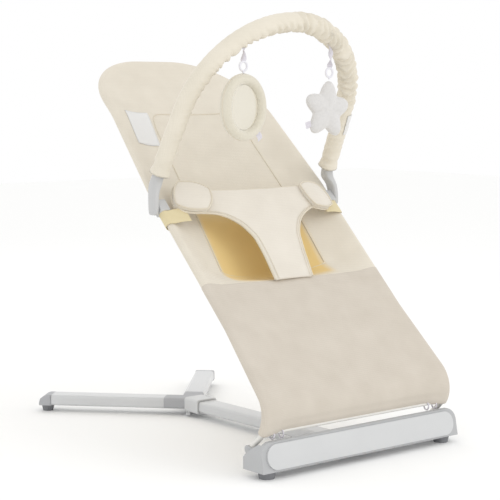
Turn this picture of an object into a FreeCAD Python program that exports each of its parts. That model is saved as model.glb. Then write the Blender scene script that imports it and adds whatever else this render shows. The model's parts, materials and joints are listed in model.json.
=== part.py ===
# Baby bouncer seat: a low front housing and a folding Y-shaped rear base carry a
# fabric seat on a bent steel frame, with a toy bar clipped over it.
# Axes: +X to the sitter's left side, +Y to the rear, +Z up.  The floor is z = 0 and
# the origin is the middle of the footprint.  Unit: millimetre.
import FreeCAD, Part
import Sketcher
import math
import os
import re

Vector = FreeCAD.Vector

# ---------------------------------------------------------------- driving dimensions
SIZES = {
    # where the line of the front feet lies
    "front_line_y": -291.7,
    # front housing
    "housing_width": 390.0, "housing_front": 17.0, "housing_rear": 28.0,
    "housing_underside": 11.0, "housing_top": 53.0, "housing_lean": 9.0,
    "housing_crest": 6.0, "housing_shoulder": 24.0, "housing_shoulder_z": 33.0,
    "housing_corner": 19.0, "housing_wall": 2.5,
    "slot_width": 16.0, "slot_inset": 7.0,
    "panel_width": 372.0, "panel_height": 36.0, "panel_thick": 2.5,
    "cover_thick": 2.0, "cover_gap": 0.3,
    "foot_spacing": 350.0, "foot_radius": 13.0, "foot_height": 11.0, "foot_spigot": 4.0,
    "screw_head": 4.0, "screw_core": 1.6, "screw_length": 9.0, "screw_spacing": 280.0,
    # recline shaft
    "shaft_y": 6.0, "shaft_z": 30.0, "shaft_radius": 4.0, "running_gap": 0.05,
    "bearing_thick": 12.0, "bearing_radius": 8.0,
    "disc_radius": 8.5, "disc_thick": 5.0,
    "arm_thick": 12.0, "arm_radius": 7.5, "tip_radius": 5.8, "arm_reach": 25.0, "arm_angle": 16.0,
    # stem and rear legs
    "tube_width": 34.0, "tube_height": 18.0, "tube_wall": 2.0, "tube_corner": 4.5,
    "stem_length": 356.0, "plug_gap": 0.2, "plug_length": 26.0,
    "flange_thick": 4.0, "flange_margin": 2.0,
    "pin_drop": 3.0, "pin_radius": 2.5, "lug_radius": 4.2, "lug_half": 9.0,
    "hub_length": 30.0, "hub_joint": 44.0, "leg_angle": 43.0, "leg_length": 192.0,
    "cap_length": 22.0, "collar_wall": 2.4, "collar_gap": 0.5,
    "collar_cover": 27.0, "collar_back": 8.0,
    "rear_foot_top": 11.0, "rear_foot_bottom": 8.5,
    # seat frame
    "wire_radius": 4.0, "seat_angle": 45.0, "bend_y": -23.3, "bend_z": 83.7,
    "bend_radius": 42.0, "rail_half": 168.0, "base_splay": 12.0, "neck_taper": 14.5,
    "rail_start": 164.0, "rail_end": 426.0, "neck_end": 592.0, "rail_bend": 150.0,
    "head_taper": 18.0, "head_reach": 727.0, "head_back": 25.0, "head_radius": 118.0,
    "frame_joint": 330.0, "hem_radius": 2.5, "hem_z": 62.0, "loop_wall": 1.7,
    # fabric of the seat
    "cloth_gap": 0.4, "cover_cloth": 3.0, "cover_end": 239.0,
    "panel_half": 108.0, "panel_start": 279.0, "panel_end": 576.0, "panel_pad": 5.0,
    "pouch_depth": 44.0, "middle_depth": 20.0, "neck_depth": 9.0, "side_cloth": 3.0,
    "floor_drop": 3.4,
    # bodice
    "bodice_pad": 6.0, "bodice_foot": 36.0, "bodice_waist": 41.0, "bodice_shoulder": 62.0,
    "bodice_chest": 93.0,
    "bodice_lift": 1.6, "bodice_end": 400.0, "bodice_rise": 24.0,
    "tab_width": 50.0, "tab_length": 52.0, "tab_thick": 14.0,
    "strap_place": 362.0, "strap_width": 26.0, "strap_thick": 1.6,
    # toy bar
    "clip_place": 393.0, "clip_length": 22.0, "clip_height": 18.0, "clip_inner": 8.0,
    "clip_outer": 9.5, "hinge_radius": 5.0, "hinge_length": 9.0,
    "end_width": 20.0, "end_thick": 9.0, "end_height": 47.0, "end_forward": 4.0,
    "bar_lean": 26.5, "bar_outset": 3.0, "arch_inset": 8.0, "bar_splay": 4.5,
    "bar_radius": 6.0, "sleeve_radius": 14.5, "sleeve_start": 8.0, "bar_sink": 12.0,
    # toys
    "mirror_x": -90.0, "star_x": 78.0, "ribbon_width": 9.0, "ribbon_thick": 1.4,
    "mirror_ribbon": 15.0, "star_ribbon": 30.0, "hook_length": 19.0, "hook_radius": 1.7,
    "hook_ring": 6.9, "hook_drop": 1.8, "eyelet_radius": 3.8, "eyelet_width": 3.0,
    "ring_radius": 41.5, "ring_section": 8.3, "disc_half": 3.0, "mirror_turn": 12.5,
    "star_radius": 47.0, "star_waist": 29.0, "star_thick": 26.0, "star_turn": -6.0,
}

doc = FreeCAD.newDocument("BouncerSeat")
sheet = doc.addObject("Spreadsheet::Sheet", "Sizes")
for row, (alias, number) in enumerate(SIZES.items(), start=1):
    sheet.set("A%d" % row, alias)
    sheet.set("B%d" % row, str(number))
    sheet.setAlias("B%d" % row, alias)
working = doc.addObject("Spreadsheet::Sheet", "Working")
doc.recompute()
v = {alias: float(sheet.get(alias)) for alias in SIZES}
base_half = v["rail_half"] + v["base_splay"]
neck_half = v["rail_half"] - v["neck_taper"]
frame_head_half = neck_half - v["head_taper"]
bar_half = v["rail_half"] + v["bar_outset"]
arch_radius = bar_half - v["arch_inset"]
NODES = []


# ---------------------------------------------------------------- document helpers
def on_sheet(formula):
    """A formula in which each size is read from the spreadsheet."""
    return re.sub("[a-z_]+", lambda word: "Sizes." + word[0] if word[0] in SIZES else word[0],
                  formula)


def number_of(formula):
    """The value of a formula, worked out by the sheet."""
    working.set("A1", "=" + on_sheet(formula))
    working.recompute()
    return float(working.get("A1"))


def bound(obj, **formulas):
    """Bind properties to spreadsheet formulas, such as Length='housing_width'."""
    for prop, formula in formulas.items():
        obj.setExpression(prop, on_sheet(formula))
    return obj


def node(obj, name):
    """Keep an object as a finished sub-part, labelled with its node name."""
    obj.Label = name
    NODES.append(obj)
    return obj


def place(obj, x=0.0, y=0.0, z=0.0, axis=(0, 0, 1), angle=0.0):
    """Put an object at a point, turned about an axis through its own origin."""
    obj.Placement = FreeCAD.Placement(Vector(x, y, z), FreeCAD.Rotation(Vector(*axis), angle))
    return obj


def box(name, length, width, height, x, y, z):
    """A box whose three sizes are formulas, with its lowest corner at a point."""
    obj = doc.addObject("Part::Box", name)
    bound(obj, Length=length, Width=width, Height=height)
    return place(obj, x, y, z)


def rod(name, radius, height, x, y, z, axis=(0, 0, 1), angle=0.0):
    """A cylinder whose radius and height are formulas."""
    obj = doc.addObject("Part::Cylinder", name)
    bound(obj, Radius=radius, Height=height)
    return place(obj, x, y, z, axis, angle)


def cross_rod(name, radius, height, x, y, z):
    """A cylinder lying along +X from a point."""
    return rod(name, radius, height, x, y, z, (0, 1, 0), 90)


def cut(name, base, *tools):
    """Base less the tools."""
    for count, tool in enumerate(tools):
        obj = doc.addObject("Part::Cut", "%s_cut%d" % (name, count))
        obj.Base = base
        obj.Tool = tool
        base = obj
    return base


def fuse(name, *shapes):
    """One solid out of several."""
    obj = doc.addObject("Part::MultiFuse", name)
    obj.Shapes = list(shapes)
    obj.Refine = True
    return obj


def common(name, base, tool):
    """What two shapes share."""
    obj = doc.addObject("Part::Common", name)
    obj.Base = base
    obj.Tool = tool
    return obj


def feature(name, shape):
    """A shape made with Part's own functions, kept as a document object."""
    obj = doc.addObject("Part::Feature", name)
    obj.Shape = shape
    return obj


def new_body(name):
    """A PartDesign body of its own."""
    return doc.addObject("PartDesign::Body", name)


def sketch_on(body, role):
    """A sketch on one of the body's own origin planes."""
    sketch = body.newObject("Sketcher::SketchObject", body.Name + "_sketch%d" % len(body.Group))
    plane = [item for item in body.Origin.OriginFeatures if item.Role == role][0]
    sketch.AttachmentSupport = (plane, "")
    sketch.MapMode = "FlatFace"
    return sketch


def outline(sketch, corners):
    """A closed outline whose corners are pairs of formulas, each bound to the sheet."""
    count = len(corners)
    first = sketch.GeometryCount
    spots = []
    for formula_x, formula_y in corners:
        spots.append(Vector(number_of(formula_x), number_of(formula_y), 0))
    for index in range(count):
        sketch.addGeometry(Part.LineSegment(spots[index], spots[(index + 1) % count]), False)
    for index in range(count):
        here = first + index
        after = first + (index + 1) % count
        sketch.addConstraint(Sketcher.Constraint("Coincident", here, 2, after, 1))
    for index, (formula_x, formula_y) in enumerate(corners):
        for kind, formula, size in (("DistanceX", formula_x, spots[index].x),
                                    ("DistanceY", formula_y, spots[index].y)):
            if abs(size) < 1e-9:
                other = "PointOnObject"
                line = -2 if kind == "DistanceX" else -1
                sketch.addConstraint(Sketcher.Constraint(other, first + index, 1, line))
            else:
                number = sketch.addConstraint(
                    Sketcher.Constraint(kind, -1, 1, first + index, 1, size))
                sketch.setExpression("Constraints[%d]" % number, on_sheet(formula))
    return sketch


def pad(body, sketch, length, midplane=False, reverse=False):
    """Extrude a sketch."""
    obj = body.newObject("PartDesign::Pad", body.Name + "_pad%d" % len(body.Group))
    obj.Profile = sketch
    obj.Midplane = midplane
    obj.Reversed = reverse
    obj.setExpression("Length", on_sheet(length))
    sketch.Visibility = False
    doc.recompute()
    return obj


def pocket(body, sketch, length, midplane=False, reverse=False):
    """Cut a sketch out of a body, and make sure that it did cut."""
    before = body.Shape.Volume
    obj = body.newObject("PartDesign::Pocket", body.Name + "_pocket%d" % len(body.Group))
    obj.Profile = sketch
    obj.Midplane = midplane
    obj.Reversed = reverse
    obj.setExpression("Length", on_sheet(length))
    sketch.Visibility = False
    doc.recompute()
    if body.Shape.Volume >= before - 1e-6:
        raise RuntimeError("pocket cuts nothing in " + body.Name)
    return obj


def round_edges(body, base, radius, wanted):
    """Fillet the edges of a feature for which wanted(edge) holds."""
    names = ["Edge%d" % (i + 1) for i, edge in enumerate(base.Shape.Edges) if wanted(edge)]
    obj = body.newObject("PartDesign::Fillet", body.Name + "_fillet%d" % len(body.Group))
    obj.Base = (base, names)
    obj.setExpression("Radius", on_sheet(radius))
    doc.recompute()
    return obj


def runs_along(direction):
    """A test for straight edges that run along a direction."""
    def wanted(edge):
        if len(edge.Vertexes) != 2 or edge.Curve.TypeId != "Part::GeomLine":
            return False
        line = edge.Vertexes[1].Point - edge.Vertexes[0].Point
        return abs(abs(line.normalize().dot(Vector(*direction))) - 1) < 1e-6
    return wanted


def rectangle(sketch, half_x, half_y):
    """A rectangle about the sketch's origin, from formulas for its half sizes."""
    return outline(sketch, [("-(%s)" % half_x, "-(%s)" % half_y), (half_x, "-(%s)" % half_y),
                            (half_x, half_y), ("-(%s)" % half_x, half_y)])


# ---------------------------------------------------------------- front housing
front_y = v["front_line_y"]
underside = v["housing_underside"]
half_housing = v["housing_width"] / 2
shaft_y = front_y + v["shaft_y"]
SECTION = [("-housing_front", "housing_underside"),
           ("-housing_lean", "housing_top - 1"),
           ("housing_crest - housing_lean", "housing_top"),
           ("housing_shoulder", "housing_shoulder_z"),
           ("housing_rear", "housing_underside + 17"),
           ("housing_rear", "housing_underside")]
HOLLOW = [("housing_wall - housing_front + 3", "housing_underside + cover_thick"),
          ("housing_wall - housing_lean + 0.6", "housing_top - housing_wall - 3"),
          ("housing_crest - housing_lean", "housing_top - housing_wall - 2"),
          ("housing_shoulder - housing_wall", "housing_shoulder_z - housing_wall"),
          ("housing_rear - housing_wall", "housing_underside + 14"),
          ("housing_rear - housing_wall", "housing_underside + cover_thick")]


def section_body(name, corners, length):
    """A Y-Z outline extruded evenly to both sides of the middle plane."""
    body = new_body(name)
    pad(body, outline(sketch_on(body, "YZ_Plane"), corners), length, midplane=True)
    return place(body, 0, front_y, 0)


housing_block = section_body("housing_block", SECTION, "housing_width")
front_view = new_body("housing_front_view")
view_sketch = sketch_on(front_view, "XZ_Plane")
outline(view_sketch, [("-housing_width / 2", "housing_underside - 1"),
                      ("housing_width / 2", "housing_underside - 1"),
                      ("housing_width / 2", "housing_top"),
                      ("-housing_width / 2", "housing_top")])
view_pad = pad(front_view, view_sketch, "200", midplane=True)
top_z = v["housing_top"]
across = runs_along((0, 1, 0))
round_edges(front_view, view_pad, "housing_corner",
            lambda edge: across(edge) and edge.BoundBox.ZMin > top_z - 1)
place(front_view, 0, front_y, 0)
housing_shape = common("housing_rounded", housing_block, front_view)
slot_middle = base_half
slot_tools = []
for side in (-1, 1):
    slot_tools.append(box("arm_slot", "slot_width", "60", "60",
                          side * slot_middle - v["slot_width"] / 2,
                          front_y + v["shaft_y"] - v["arm_radius"] - 2,
                          underside + v["cover_thick"]))
inner_half = slot_middle - v["slot_width"] / 2 - v["housing_wall"]
hollow = section_body("housing_hollow", HOLLOW,
                      "2 * (rail_half + base_splay - slot_width / 2 - housing_wall)")
cover_seat = box("cover_seat", "housing_width - 2 * slot_inset",
                 "housing_front + housing_rear - 7", "cover_thick",
                 -half_housing + v["slot_inset"], front_y - v["housing_front"] + 3.5, underside)
shaft_hole = cross_rod("shaft_hole", "shaft_radius + running_gap",
                       "housing_width - 2 * slot_inset + 6",
                       -half_housing + v["slot_inset"] - 3, shaft_y, v["shaft_z"])
housing_shell = node(cut("housing", housing_shape, *slot_tools, hollow, cover_seat, shaft_hole),
                     "housing_shell")

housing_cover = cut("cover", box(
    "cover_plate", "housing_width - 2 * slot_inset - 2 * cover_gap",
    "housing_front + housing_rear - 7 - 2 * cover_gap", "cover_thick",
    -half_housing + v["slot_inset"] + v["cover_gap"],
    front_y - v["housing_front"] + 3.5 + v["cover_gap"], underside))
screw_spots = [(sx * v["screw_spacing"] / 2, front_y + 5 + sy * 12.0)
               for sx in (-1, 1) for sy in (-1, 1)]
cover_bores = []
for x, y in screw_spots:
    cover_bores.append(rod("cover_bore", "screw_core + cover_gap", "10", x, y, underside - 1))
foot_spots = [side * v["foot_spacing"] / 2 for side in (-1, 1)]
for x in foot_spots:
    cover_bores.append(rod("foot_bore", "foot_radius / 2 + cover_gap", "10", x,
                           front_y, underside - 1))
node(cut("cover", housing_cover, *cover_bores), "housing_base_cover")

screws = []
for x, y in screw_spots:
    screws.append(fuse("cover_screw",
                       rod("screw_shank", "screw_core", "screw_length", x, y, underside - 1.5),
                       rod("screw_top", "screw_head", "1.5", x, y, underside - 1.5)))
node(doc.addObject("Part::Compound", "screws"), "housing_screws").Links = screws


def bearing(name, side):
    """A block on the base cover that the recline shaft turns in."""
    middle = side * v["screw_spacing"] / 2
    thick = v["bearing_thick"]
    seat_z = underside + v["cover_thick"]
    block = fuse(name + "_block",
                 box("bearing_box", "bearing_thick", "20", "20", middle - thick / 2,
                     front_y - 4, seat_z),
                 cross_rod("bearing_eye", "bearing_radius", "bearing_thick",
                           middle - thick / 2, shaft_y, v["shaft_z"]))
    bores = [cross_rod("bearing_bore", "shaft_radius + running_gap", "bearing_thick + 2",
                       middle - thick / 2 - 1, shaft_y, v["shaft_z"])]
    for x, y in screw_spots:
        if x * side > 0:
            bores.append(rod("thread_bore", "screw_core", "screw_length + 2", x, y, seat_z - 5))
    return node(cut(name, block, *bores), name)


bearing("shaft_bearing_left", 1)
bearing("shaft_bearing_right", -1)

# the white front panel: a long plate with round ends, leaning with the housing's front
rise = v["housing_top"] - 1 - underside
panel_lean = math.degrees(math.atan2(v["housing_front"] - v["housing_lean"], rise))
panel = new_body("panel")
panel_sketch = sketch_on(panel, "XZ_Plane")
rectangle(panel_sketch, "panel_width / 2", "panel_height / 2")
panel_pad = pad(panel, panel_sketch, "panel_thick")
round_edges(panel, panel_pad, "panel_height / 2 - 0.2", across)
panel_mid_z = underside + rise / 2
panel_mid_y = front_y - (v["housing_front"] + v["housing_lean"]) / 2
place(panel, 0, panel_mid_y - 0.02, panel_mid_z, (1, 0, 0), -panel_lean)
node(panel, "front_panel")


def front_foot(name, side):
    """A rubber foot: a tapered disc with a spigot up into the housing's cover."""
    x = side * v["foot_spacing"] / 2
    pad_part = doc.addObject("Part::Cone", name + "_pad")
    bound(pad_part, Radius1="foot_radius - 2", Radius2="foot_radius", Height="foot_height")
    place(pad_part, x, front_y, 0)
    spigot = rod(name + "_spigot", "foot_radius / 2", "foot_height + foot_spigot / 2", x,
                 front_y, 0)
    return node(fuse(name, pad_part, spigot), name)


front_foot("front_foot_left", 1)
front_foot("front_foot_right", -1)

# ---------------------------------------------------------------- recline shaft
shaft_half = half_housing - v["slot_inset"] + 1
node(cross_rod("shaft", "shaft_radius", "housing_width - 2 * slot_inset + 2",
               -shaft_half, shaft_y, v["shaft_z"]), "recline_shaft")


def friction_disc(name, side):
    """A disc keyed to the shaft beside its bearing, which holds the recline by friction."""
    inner = v["screw_spacing"] / 2 + v["bearing_thick"] / 2 + v["cover_gap"]
    x = inner if side > 0 else -inner - v["disc_thick"]
    disc = cross_rod(name + "_round", "disc_radius", "disc_thick", x, shaft_y, v["shaft_z"])
    bore = cross_rod(name + "_bore", "shaft_radius", "disc_thick + 2", x - 1, shaft_y,
                     v["shaft_z"])
    return node(cut(name, disc, bore), name)


friction_disc("friction_disc_left", 1)
friction_disc("friction_disc_right", -1)


def recline_arm(name, side):
    """The lever that holds one end of the seat wire and turns on the shaft."""
    x = side * base_half - v["arm_thick"] / 2
    tip_y = shaft_y + v["arm_reach"] * math.cos(math.radians(v["arm_angle"]))
    tip_z = v["shaft_z"] + v["arm_reach"] * math.sin(math.radians(v["arm_angle"]))
    web = doc.addObject("Part::Box", name + "_web")
    bound(web, Length="arm_thick", Width="arm_reach", Height="2 * tip_radius")
    web.Placement = FreeCAD.Placement(
        Vector(x, shaft_y, v["shaft_z"]), FreeCAD.Rotation(Vector(1, 0, 0), v["arm_angle"]))
    lift = web.Placement.Rotation.multVec(Vector(0, 0, -v["tip_radius"]))
    web.Placement.Base = web.Placement.Base + lift
    arm = fuse(name + "_solid", web,
               cross_rod(name + "_eye", "arm_radius", "arm_thick", x, shaft_y, v["shaft_z"]),
               cross_rod(name + "_tip", "tip_radius", "arm_thick", x, tip_y, tip_z))
    bore = cross_rod(name + "_bore", "shaft_radius + running_gap", "arm_thick + 2", x - 1,
                     shaft_y, v["shaft_z"])
    socket = rod(name + "_socket", "wire_radius + 0.02", "arm_radius * 3",
                 side * base_half, tip_y, tip_z, (1, 0, 0), wire_tilt)
    return node(cut(name, arm, bore, socket), name)


# ---------------------------------------------------------------- seat geometry
# u runs up the seat along the rails, n stands out to its front, from the lower bend
seat_angle = math.radians(v["seat_angle"])
bend = Vector(0, front_y + v["bend_y"], v["bend_z"])
along = Vector(0, math.cos(seat_angle), math.sin(seat_angle))
outward = Vector(0, -math.sin(seat_angle), math.cos(seat_angle))
wire_end = Vector(0, shaft_y + v["arm_reach"] * math.cos(math.radians(v["arm_angle"])),
                  v["shaft_z"] + v["arm_reach"] * math.sin(math.radians(v["arm_angle"])))
wire_run = wire_end - bend
wire_tilt = math.degrees(math.atan2(-wire_run.y, wire_run.z)) + 180


def seat_point(x, u, n=0.0):
    """A point given in the seat's own directions."""
    return bend + along * u + outward * n + Vector(x, 0, 0)


recline_arm("recline_arm_left", 1)
recline_arm("recline_arm_right", -1)


def bent_path(corners, radii):
    """Straight runs through the corners, joined by tangent arcs of the given radii."""
    edges = []
    start = corners[0]
    for before, corner, after, radius in zip(corners, corners[1:], corners[2:], radii):
        run_in = (before - corner).normalize()
        run_out = (after - corner).normalize()
        half_turn = (math.pi - math.acos(run_in.dot(run_out))) / 2
        reach = radius * math.tan(half_turn)
        first = corner + run_in * reach
        last = corner + run_out * reach
        inward = (run_in + run_out).normalize()
        middle = corner + inward * (radius / math.cos(half_turn) - radius)
        if (first - start).Length > 1e-6:
            edges.append(Part.LineSegment(start, first).toShape())
        edges.append(Part.Arc(first, middle, last).toShape())
        start = last
    edges.append(Part.LineSegment(start, corners[-1]).toShape())
    return Part.Wire(edges)


def swept_rod(path, radius):
    """A round rod along a path."""
    first = path.Edges[0]
    normal = first.tangentAt(first.FirstParameter)
    ring = Part.Wire(Part.makeCircle(radius, path.Vertexes[0].Point, normal))
    return path.makePipeShell([ring], True, True)


# ---------------------------------------------------------------- stem and rear base
tube_mid_z = underside + v["tube_height"] / 2
stem_start = front_y + v["housing_rear"] + v["flange_thick"]
stem_end = stem_start + v["stem_length"]
pin_y = stem_end + v["plug_gap"]
pin_z = underside - v["pin_drop"]
hub_start = pin_y + v["plug_gap"]
hub_y = hub_start + v["hub_length"] / 2


def tube_body(name, length, wall="tube_wall"):
    """A hollow aluminium profile along +Y from its own origin, with rounded edges."""
    body = new_body(name)
    outer = pad(body, rectangle(sketch_on(body, "XZ_Plane"), "tube_width / 2",
                                "tube_height / 2"), length, reverse=True)
    round_edges(body, outer, "tube_corner", across)
    inner = rectangle(sketch_on(body, "XZ_Plane"), "tube_width / 2 - %s" % wall,
                      "tube_height / 2 - %s" % wall)
    pocket(body, inner, length)
    return body


def plug(name, length="plug_length"):
    """The solid end that slips into a tube, along +Y from its own origin."""
    body = new_body(name)
    shape = pad(body, rectangle(sketch_on(body, "XZ_Plane"), "tube_width / 2 - tube_wall - plug_gap",
                                "tube_height / 2 - tube_wall - plug_gap"), length, reverse=True)
    round_edges(body, shape, "1.5", across)
    return body


def sleeve_block(name, length, margin, corner="tube_corner"):
    """A solid of the tube's outline plus a margin, along +Y from its own origin."""
    body = new_body(name)
    shape = pad(body, rectangle(sketch_on(body, "XZ_Plane"), "tube_width / 2 + %s" % margin,
                                "tube_height / 2 + %s" % margin), length, reverse=True)
    round_edges(body, shape, corner, across)
    return body


stem_hollow = place(tube_body("stem_profile", "stem_length"), 0, stem_start, tube_mid_z)
hinge_lug = fuse("hinge_lug",
                 cross_rod("lug_eye", "lug_radius", "2 * lug_half", -v["lug_half"], pin_y, pin_z),
                 box("lug_neck", "2 * lug_half", "12", "pin_drop + tube_wall / 2", -v["lug_half"],
                     pin_y - 12, pin_z))
stem_notch = box("stem_notch", "2 * lug_half + 1", "14", "tube_wall + 2", -v["lug_half"] - 0.5,
                 pin_y - 12.3, underside - 1)
node(cut("stem", stem_hollow, stem_notch), "stem_tube")
lug_bore = cross_rod("lug_bore", "pin_radius + running_gap", "2 * lug_half + 2",
                     -v["lug_half"] - 1, pin_y, pin_z)
stem_plug = place(plug("stem_end_plug"), 0, stem_end - v["plug_length"], tube_mid_z)
lug_stalk = box("lug_stalk", "2 * lug_half", "12", "tube_wall + plug_gap + 1", -v["lug_half"],
                pin_y - 12, underside - 0.5)
node(cut("hinge_plug", fuse("hinge_plug_solid", stem_plug, hinge_lug, lug_stalk), lug_bore),
     "stem_hinge_plug")
socket_flange = place(sleeve_block("socket_flange", "flange_thick", "flange_margin / 2"), 0,
                      front_y + v["housing_rear"], tube_mid_z)
socket_plug = place(plug("socket_plug"), 0, stem_start, tube_mid_z)
node(fuse("stem_socket", socket_flange, socket_plug), "stem_socket")

# the hub: a solid block behind the stem, with a stub for each leg
hub_block = place(sleeve_block("hub_block", "hub_length", "0"), 0, hub_start, tube_mid_z)
hub_parts = [hub_block]
for side in (-1, 1):
    turn = -side * v["leg_angle"]
    stub = place(sleeve_block("hub_stub", "hub_joint", "0"), 0, hub_y, tube_mid_z, (0, 0, 1), turn)
    reach_in = FreeCAD.Rotation(Vector(0, 0, 1), turn).multVec(Vector(0, v["hub_joint"], 0))
    stub_plug = place(plug("stub_plug"), reach_in.x, hub_y + reach_in.y, tube_mid_z,
                      (0, 0, 1), turn)
    hub_parts += [stub, stub_plug]
hub_relief = cross_rod("hub_relief", "lug_radius + 0.6", "2 * lug_half + 2", -v["lug_half"] - 1,
                       pin_y, pin_z)
hub_clear = box("hub_clear", "200", "200", "60", -100, hub_start - 200, 0)
node(cut("hub", fuse("hub_solid", *hub_parts), hub_relief, hub_clear), "leg_hub")

# the collar: a C-shaped cover over the joint, open below, hinged on the pin at its corners
collar_outer = place(sleeve_block("collar_outer", "collar_cover + collar_back",
                                  "(collar_gap + collar_wall)"), 0,
                     pin_y - v["collar_cover"], tube_mid_z)
collar_inner = place(sleeve_block("collar_inner", "collar_cover + collar_back + 2",
                                  "collar_gap"), 0,
                     pin_y - v["collar_cover"] - 1, tube_mid_z)
collar_half = v["tube_width"] / 2 + v["collar_gap"] + v["collar_wall"]
collar_open = box("collar_open", "tube_width + 2 * collar_gap", "collar_cover + collar_back + 2",
                  "12", -v["tube_width"] / 2 - v["collar_gap"], pin_y - v["collar_cover"] - 1,
                  underside - 4)
ears = []
for side in (-1, 1):
    ear_x = side * (collar_half - v["collar_wall"] / 2) - v["collar_wall"] / 2
    ears.append(cross_rod("collar_ear", "lug_radius + 0.6", "collar_wall", ear_x, pin_y, pin_z))
collar_bore = cross_rod("collar_bore", "pin_radius", "tube_width + 20", -collar_half - 1,
                        pin_y, pin_z)
node(cut("collar", fuse("collar_solid", cut("collar_shell", collar_outer, collar_inner,
                                            collar_open), *ears), collar_bore), "hub_collar")
node(cross_rod("fold_pin", "pin_radius", "tube_width + 2 * collar_gap + 2 * collar_wall + 2",
               -collar_half - 1, pin_y, pin_z), "fold_pin")


def leg(side, hand):
    """One rear leg: tube, end cap and rubber foot, along its own direction from the hub."""
    turn = -side * v["leg_angle"]
    swing = FreeCAD.Rotation(Vector(0, 0, 1), turn)
    hub = Vector(0, hub_y, tube_mid_z)

    def set_out(obj, distance, drop=0.0):
        obj.Placement = FreeCAD.Placement(hub + swing.multVec(Vector(0, distance, drop)), swing)
        return obj

    tube_start = v["hub_joint"] + v["plug_gap"] / 2
    tube_end = tube_start + v["leg_length"]
    node(set_out(tube_body("leg_profile", "leg_length"), tube_start), "leg_tube_" + hand)
    cap_body = new_body("end_cap")
    cap_sketch = outline(sketch_on(cap_body, "YZ_Plane"), [
        ("0", "-tube_height / 2"), ("cap_length", "-tube_height / 2"),
        ("cap_length", "-tube_height / 2 + 2.5"),
        ("cap_length - 3", "tube_height / 2 - 6.5"), ("cap_length - 9", "tube_height / 2 - 2"),
        ("cap_length - 15", "tube_height / 2"), ("0", "tube_height / 2")])
    cap_pad = pad(cap_body, cap_sketch, "tube_width", midplane=True)
    round_edges(cap_body, cap_pad, "tube_corner - 1",
                lambda edge: across(edge) and edge.BoundBox.ZMax > 2 or upright(edge))
    set_out(cap_body, tube_end + v["plug_gap"] / 2)
    cap_plug = set_out(plug("cap_plug", "plug_length - 6"), tube_end - v["plug_length"] + 6.1)
    foot_reach = tube_end + v["cap_length"] - v["rear_foot_top"] - 1
    foot_hole = set_out(doc.addObject("Part::Cylinder", "foot_hole"), foot_reach, -12)
    bound(foot_hole, Radius="rear_foot_bottom / 2 + 0.02", Height="8")
    node(cut("cap", fuse("cap_solid", cap_body, cap_plug), foot_hole), "leg_end_cap_" + hand)
    foot = doc.addObject("Part::Cone", "rear_foot")
    bound(foot, Radius1="rear_foot_bottom", Radius2="rear_foot_top", Height="housing_underside")
    set_out(foot, foot_reach, -tube_mid_z)
    foot_stem = doc.addObject("Part::Cylinder", "rear_foot_stem")
    bound(foot_stem, Radius="rear_foot_bottom / 2", Height="housing_underside + 4")
    set_out(foot_stem, foot_reach, -tube_mid_z)
    node(fuse("rear_foot", foot, foot_stem), "rear_foot_" + hand)


upright = runs_along((0, 0, 1))
leg(1, "left")
leg(-1, "right")


# ---------------------------------------------------------------- seat frame
def rail_corners(side):
    """The corners of the frame's path on one side, from the arm up to the head."""
    return [wire_end + Vector(side * base_half, 0, 0),
            seat_point(side * base_half, 0),
            seat_point(side * v["rail_half"], v["rail_start"]),
            seat_point(side * v["rail_half"], v["rail_end"]),
            seat_point(side * neck_half, v["neck_end"])]


def side_rail(name, side):
    """The bent steel rod of one side, from the recline arm to the joint below the clip."""
    corners = rail_corners(side)
    joint = seat_point(side * v["rail_half"], v["frame_joint"])
    path = bent_path(corners[:3] + [joint], [v["bend_radius"], v["rail_bend"]])
    return node(feature(name, swept_rod(path, v["wire_radius"])), name)


side_rail("side_rail_left", 1)
side_rail("side_rail_right", -1)
left_corners = rail_corners(1)
right_corners = rail_corners(-1)
head_left = seat_point(frame_head_half, v["head_reach"], -v["head_back"])
head_right = seat_point(-frame_head_half, v["head_reach"], -v["head_back"])
head_path = bent_path(
    [seat_point(v["rail_half"], v["frame_joint"])] + left_corners[3:] + [head_left, head_right]
    + right_corners[:2:-1] + [seat_point(-v["rail_half"], v["frame_joint"])],
    [v["rail_bend"], v["rail_bend"] / 2, v["head_radius"], v["head_radius"],
     v["rail_bend"] / 2, v["rail_bend"]])
node(feature("head_loop", swept_rod(head_path, v["wire_radius"])), "head_loop")


# the hem rod crosses between the wires at the front of their lower bend
bend_centre = bent_path([wire_end, bend, seat_point(0, v["cover_end"])],
                        [v["bend_radius"]]).Edges[1].Curve.Center
hem_angle = math.asin((v["hem_z"] - bend_centre.z) / v["bend_radius"])
hem = bend_centre + Vector(0, -math.cos(hem_angle), math.sin(hem_angle)) * v["bend_radius"]
hem_half = base_half - v["wire_radius"] - v["cloth_gap"] / 2
node(cross_rod("hem_rod", "hem_radius", "2 * (rail_half + base_splay - wire_radius) - cloth_gap", -hem_half,
               hem.y, hem.z), "hem_rod")

# ---------------------------------------------------------------- fabric of the seat
wire_edge = v["wire_radius"] + v["cloth_gap"]
RAIL_STATIONS = [0.0, v["rail_start"], v["rail_end"], v["neck_end"], v["head_reach"]]
RAIL_HALVES = [base_half, v["rail_half"], v["rail_half"], neck_half, frame_head_half]


def between(spot, spots, levels):
    """Straight-line interpolation in a short list."""
    for low, high, first, last in zip(spots, spots[1:], levels, levels[1:]):
        if spot <= high:
            return first + (last - first) * (spot - low) / (high - low)
    return levels[-1]


def rail_x(u):
    """Half the distance between the rails' middles at a place along the seat."""
    return between(u, RAIL_STATIONS, RAIL_HALVES)


def rail_n(u):
    """How far the rails have bent back at a place along the seat."""
    return between(u, [0.0, v["neck_end"], v["head_reach"]], [0.0, 0.0, -v["head_back"]])


def loft_of(rows, thick):
    """A strip lofted through rows of points, each row with the way its cloth faces."""
    rings = []
    for points, facing in rows:
        top = [point + facing * (thick / 2) for point in points]
        low = [point - facing * (thick / 2) for point in reversed(points)]
        rings.append(Part.makePolygon(top + low + top[:1]))
    return Part.makeLoft(rings, True, True)


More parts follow.
